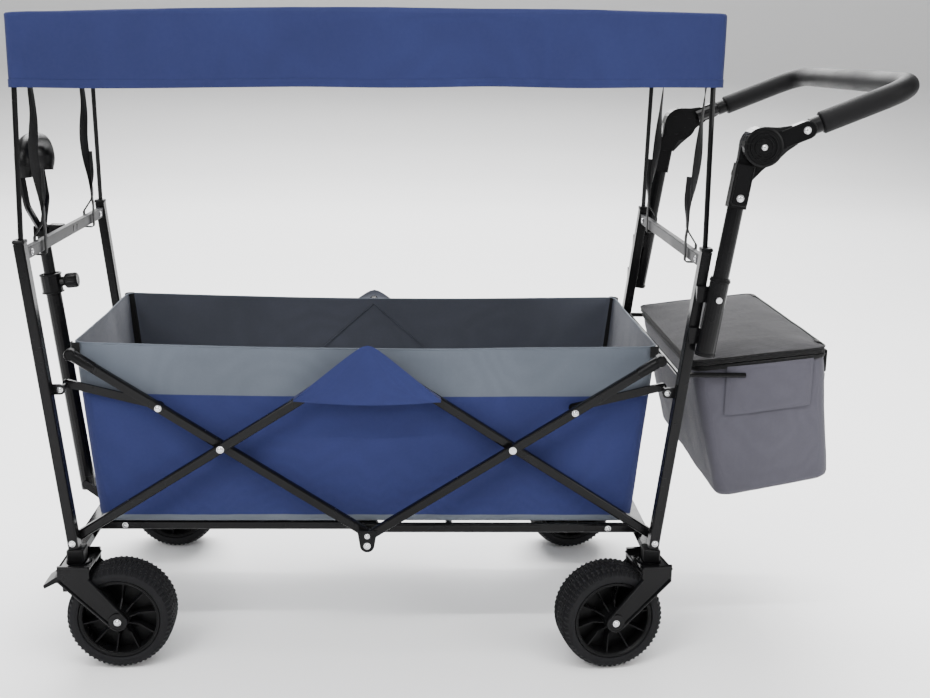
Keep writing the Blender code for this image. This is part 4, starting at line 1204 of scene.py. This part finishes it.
def add_bag():
    """The bag's cloth shell, its lid, piping, pocket and buckles."""
    build = Build()
    base = bag_ring(0.0, 0.01, BAG_INNER_CORNER, 0.0)
    middle = sum(base, Vector()) / len(base)
    floor_rings = [[middle + (p - middle) * k for p in base] for k in (0.03, 0.5, 0.9)]
    outer = [bag_ring(t, i) for t, i in ((0.0, 0.01), (0.01, 0.0045), (0.028, 0.0012), (0.05, 0.0),
                                         (0.1, 0), (0.2, 0), (0.32, 0), (0.44, 0), (0.56, 0), (0.68, 0),
                                         (0.8, 0), (0.9, 0), (0.97, 0.001), (0.998, 0.0015))]
    inner = [bag_ring(t, 0.0045, BAG_INNER_CORNER) for t in (0.998, 0.85, 0.6, 0.35, 0.12)]
    inner.append(bag_ring(0.03, 0.01, BAG_INNER_CORNER, 0.0))
    top_floor = bag_ring(0.03, 0.01, BAG_INNER_CORNER, 0.0)
    centre = sum(top_floor, Vector()) / len(top_floor)
    inner_floor = [[centre + (p - centre) * k for p in top_floor] for k in (0.9, 0.5, 0.03)]
    build.faces(floor_rings + outer, True, 0, (True, False))
    build.faces([outer[-1]] + inner + inner_floor, True, 1, (False, True))
    build.weld()
    bag = build.object("bag_shell", ["bag_grey", "lid_grey"], "rear_end", 50)
    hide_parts("bag_body")
    add_bag_lid()
    trim = Build()
    trim.tube(bag_ring(0.985, 0.001), 0.0034, 8, 0, True)
    trim.object("bag_piping", ["webbing"], "rear_end", 60)
    add_bag_pocket()


def side_point(x, z_share, y):
    """A place on the bag's flat side: along X, and from the bottom to the top."""
    (fx0, fz0), (rx0, rz0), (rx1, rz1), (fx1, fz1) = BAG
    fx, rx = fx0 + (fx1 - fx0) * z_share, rx0 + (rx1 - rx0) * z_share
    fz, rz = fz0 + (fz1 - fz0) * z_share, rz0 + (rz1 - rz0) * z_share
    share = (x - fx) / (rx - fx)
    return Vector((x, y, fz + (rz - fz) * share))


def add_bag_pocket():
    """A flap pocket on the near side, and the buckle and webbing at the rear."""
    build = Build()
    rows = []
    for i in range(19):
        s = i / 18
        x = 0.556 + 0.134 * s
        column = []
        for k in range(11):
            t = 0.985 - 0.36 * k / 10
            bulge = 0.0026 * sin(pi * min(1, s)) ** 0.3 + 0.0012 * wave_noise(x, 2, t * 0.3, 20)
            edge = 0.0012 if 0 < k < 10 and 0 < i < 18 else 0.0
            column.append(side_point(x, t, -BAG_Y - 0.0016 - bulge - edge))
        rows.append(column)
    build.faces(rows, False)
    pocket = build.object("bag_pocket_flap", ["bag_grey"], None, 60)
    thicken(pocket, 0.0022, 0, 60)
    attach(pocket, "rear_end")
    buckle = Build()
    top_z, x = 0.4965, 0.709
    for y in (-0.19, 0.19):
        path = curve([(x - 0.0075, y, top_z + 0.0135), (x - 0.001, y, top_z + 0.0122),
                      (x + 0.0035, y, top_z + 0.006),
                      (x + 0.0045, y, top_z - 0.02), (x + 0.0075, y, top_z - 0.075)], 6)
        buckle.strip(path, Vector((0, 1, 0)), 0.02, 0.0016)
    buckle.object("bag_webbing", ["webbing"], "rear_end", 60)
    clasp = Build()
    for y in (-0.19, 0.19):
        clasp.block((x + 0.0035, y - 0.014, top_z - 0.034), (x + 0.0105, y + 0.014, top_z + 0.002), 0,
                    0.002)
        clasp.block((x + 0.005, y - 0.009, top_z - 0.05), (x + 0.011, y + 0.009, top_z - 0.036), 0, 0.002)
    clasp.object("bag_buckles", ["moulding"], "rear_end", 40)


def add_bag_lid():
    """A padded lid: a crowned grey top with a black zip band and piping round it."""
    (fx, fz), (rx, rz) = BAG[3], BAG[2]
    slope = Vector((rx - fx, 0, rz - fz))
    along = slope.normalized()
    up = Vector((-along.z, 0, along.x))
    start = Vector((fx, 0, fz)) + up * 0.0008
    length = slope.length
    build = Build()

    def ring(inset, height):
        made = []
        for s, y, _, _ in round_box(length / 2 - inset, BAG_Y - inset, LID_CORNER, *LID_STEPS):
            s += length / 2
            soft = 0.001 * wave_noise(s * 2, y * 2, height * 9, 9)
            made.append(start + along * s + Vector((0, y, 0)) + up * (height + soft * (height > 0.004)))
        return made

    band = [ring(0.05, 0.0), ring(0.004, 0.0), ring(0.0008, 0.0008), ring(0.0, 0.0025), ring(0.0, 0.0085),
            ring(0.0006, 0.0102)]
    top = [ring(0.0006, 0.0102), ring(0.003, 0.0114), ring(0.01, 0.0124), ring(0.03, 0.0138),
           ring(0.06, 0.0148), ring(0.085, 0.015)]
    build.faces(band, True, 1, (True, False))
    build.faces(top, True, 0, (False, True))
    build.weld()
    lid = build.object("bag_lid_pad", ["lid_grey", "webbing"], "bag_lid", 50)
    modify(lid, "REMESH", mode="VOXEL", voxel_size=0.004, use_smooth_shade=True)
    bake(lid)

    def height(place):
        return (place - start).dot(up)

    puff(lid, lambda place: 1.0 if height(place) < 0.01 else 0.0, 4.0, 0.0035)
    lid.data.materials.clear()
    for key in ("lid_grey", "webbing"):
        lid.data.materials.append(MATERIALS[key])
    for face in lid.data.polygons:
        face.material_index = 1 if height(face.center) < 0.009 else 0
    shade(lid.data, 50)
    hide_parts("bag_lid")
    piping = Build()
    piping.tube(ring(0.0004, 0.01), 0.0016, 8, 0, True)
    piping.tube(ring(0.0006, 0.003), 0.0012, 8, 0, True)
    piping.object("bag_lid_piping", ["webbing"], "bag_lid", 60)


# ---------------------------------------------------------------- studio


STUDIO_DROP = 0.0008
STUDIO_HALF = 9
LIGHTS_AIM = Vector((0, 0, 0.45))
CAMERA_PLACE = Vector((0.0502, -2.1446, 0.9484))


def add_studio():
    """A pale floor that curves up into a backdrop, the world's light and six soft lamps."""
    mesh = bpy.data.meshes.new("studio_floor")
    bm = bmesh.new()
    rows = []
    for k in range(24):
        t = k / 23
        if t < 0.6:
            y, z = -6 + 12 * t / 0.6, -STUDIO_DROP
        else:
            a = (t - 0.6) / 0.4 * pi / 2
            y, z = 6 + 4 * sin(a), 4 - 4 * cos(a) - STUDIO_DROP
        rows.append([bm.verts.new((x, y, z)) for x in (-STUDIO_HALF, STUDIO_HALF)])
    for low, high in zip(rows, rows[1:]):
        bm.faces.new((low[0], low[1], high[1], high[0]))
    bm.to_mesh(mesh)
    bm.free()
    floor_object = linked("studio_floor", mesh)
    n = Nodes("studio_white", 0.9)
    n.link(n.blend(n.noise(2, 2), srgb(250, 250, 251), srgb(253, 253, 253)), "Base Color")
    mesh.materials.append(n.material)
    for face in mesh.polygons:
        face.use_smooth = True
    world = bpy.data.worlds.new("studio")
    bpy.context.scene.world = world
    world.use_nodes = True
    back = world.node_tree.nodes["Background"]
    back.inputs["Color"].default_value = (1.0, 1.0, 1.0, 1)
    back.inputs["Strength"].default_value = 0.48
    for name, place, size, power, colour in (
            ("key", (-1.8, -2.9, 2.6), 2.0, 112, (1, 1, 1)),
            ("fill", (2.6, -2.4, 1.6), 1.8, 56, (1, 0.99, 0.98)),
            ("top", (0.0, 0.8, 3.2), 3.0, 150, (1, 1, 1)),
            ("strip_front", (0.1, -1.7, 2.7), (2.8, 0.1), 55, (1, 1, 1)),
            ("strip_rear", (0.1, 1.5, 2.9), (2.8, 0.1), 42, (1, 1, 1)),
            ("backdrop", (0.0, 5.2, 4.6), 6.0, 900, (1, 1, 1))):
        light = bpy.data.lights.new(name, "AREA")
        light.energy, light.color = power, colour
        light.shape = "RECTANGLE"
        light.size, light.size_y = size if isinstance(size, tuple) else (size, size)
        lamp = linked(name, light)
        lamp.location = place
        lamp.rotation_euler = (LIGHTS_AIM - Vector(place)).to_track_quat("-Z", "Y").to_euler()


def add_camera():
    """The photograph's view, solved from the object's level lines and corners."""
    pitch, yaw, roll = radians(13.124), radians(2.927), radians(1.09)
    data = bpy.data.cameras.new("camera")
    data.sensor_width, data.lens = 36.0, 49.94
    data.dof.use_dof = False
    camera = linked("camera", data)
    ahead = Vector((sin(yaw) * cos(pitch), cos(yaw) * cos(pitch), -sin(pitch)))
    level = Vector((cos(yaw), -sin(yaw), 0))
    over = level.cross(ahead)
    right = level * cos(roll) + over * sin(roll)
    up = right.cross(ahead)
    basis = Matrix((right, up, -ahead)).transposed()
    camera.matrix_world = Matrix.Translation(CAMERA_PLACE + SHIFT) @ basis.to_4x4()
    bpy.context.scene.camera = camera


dress_cad()
add_camera()
add_studio()
add_canopy()
add_straps()
add_basket()
add_flaps()
add_mat()
for end in (FRONT, REAR):
    for side in (NEAR, FAR):
        add_tyre(end, side)
        add_fork_details(end, side)
add_rivets()
add_bar_fittings()
add_crossbar_details()
add_pull_details()
add_push_details()
add_bag()
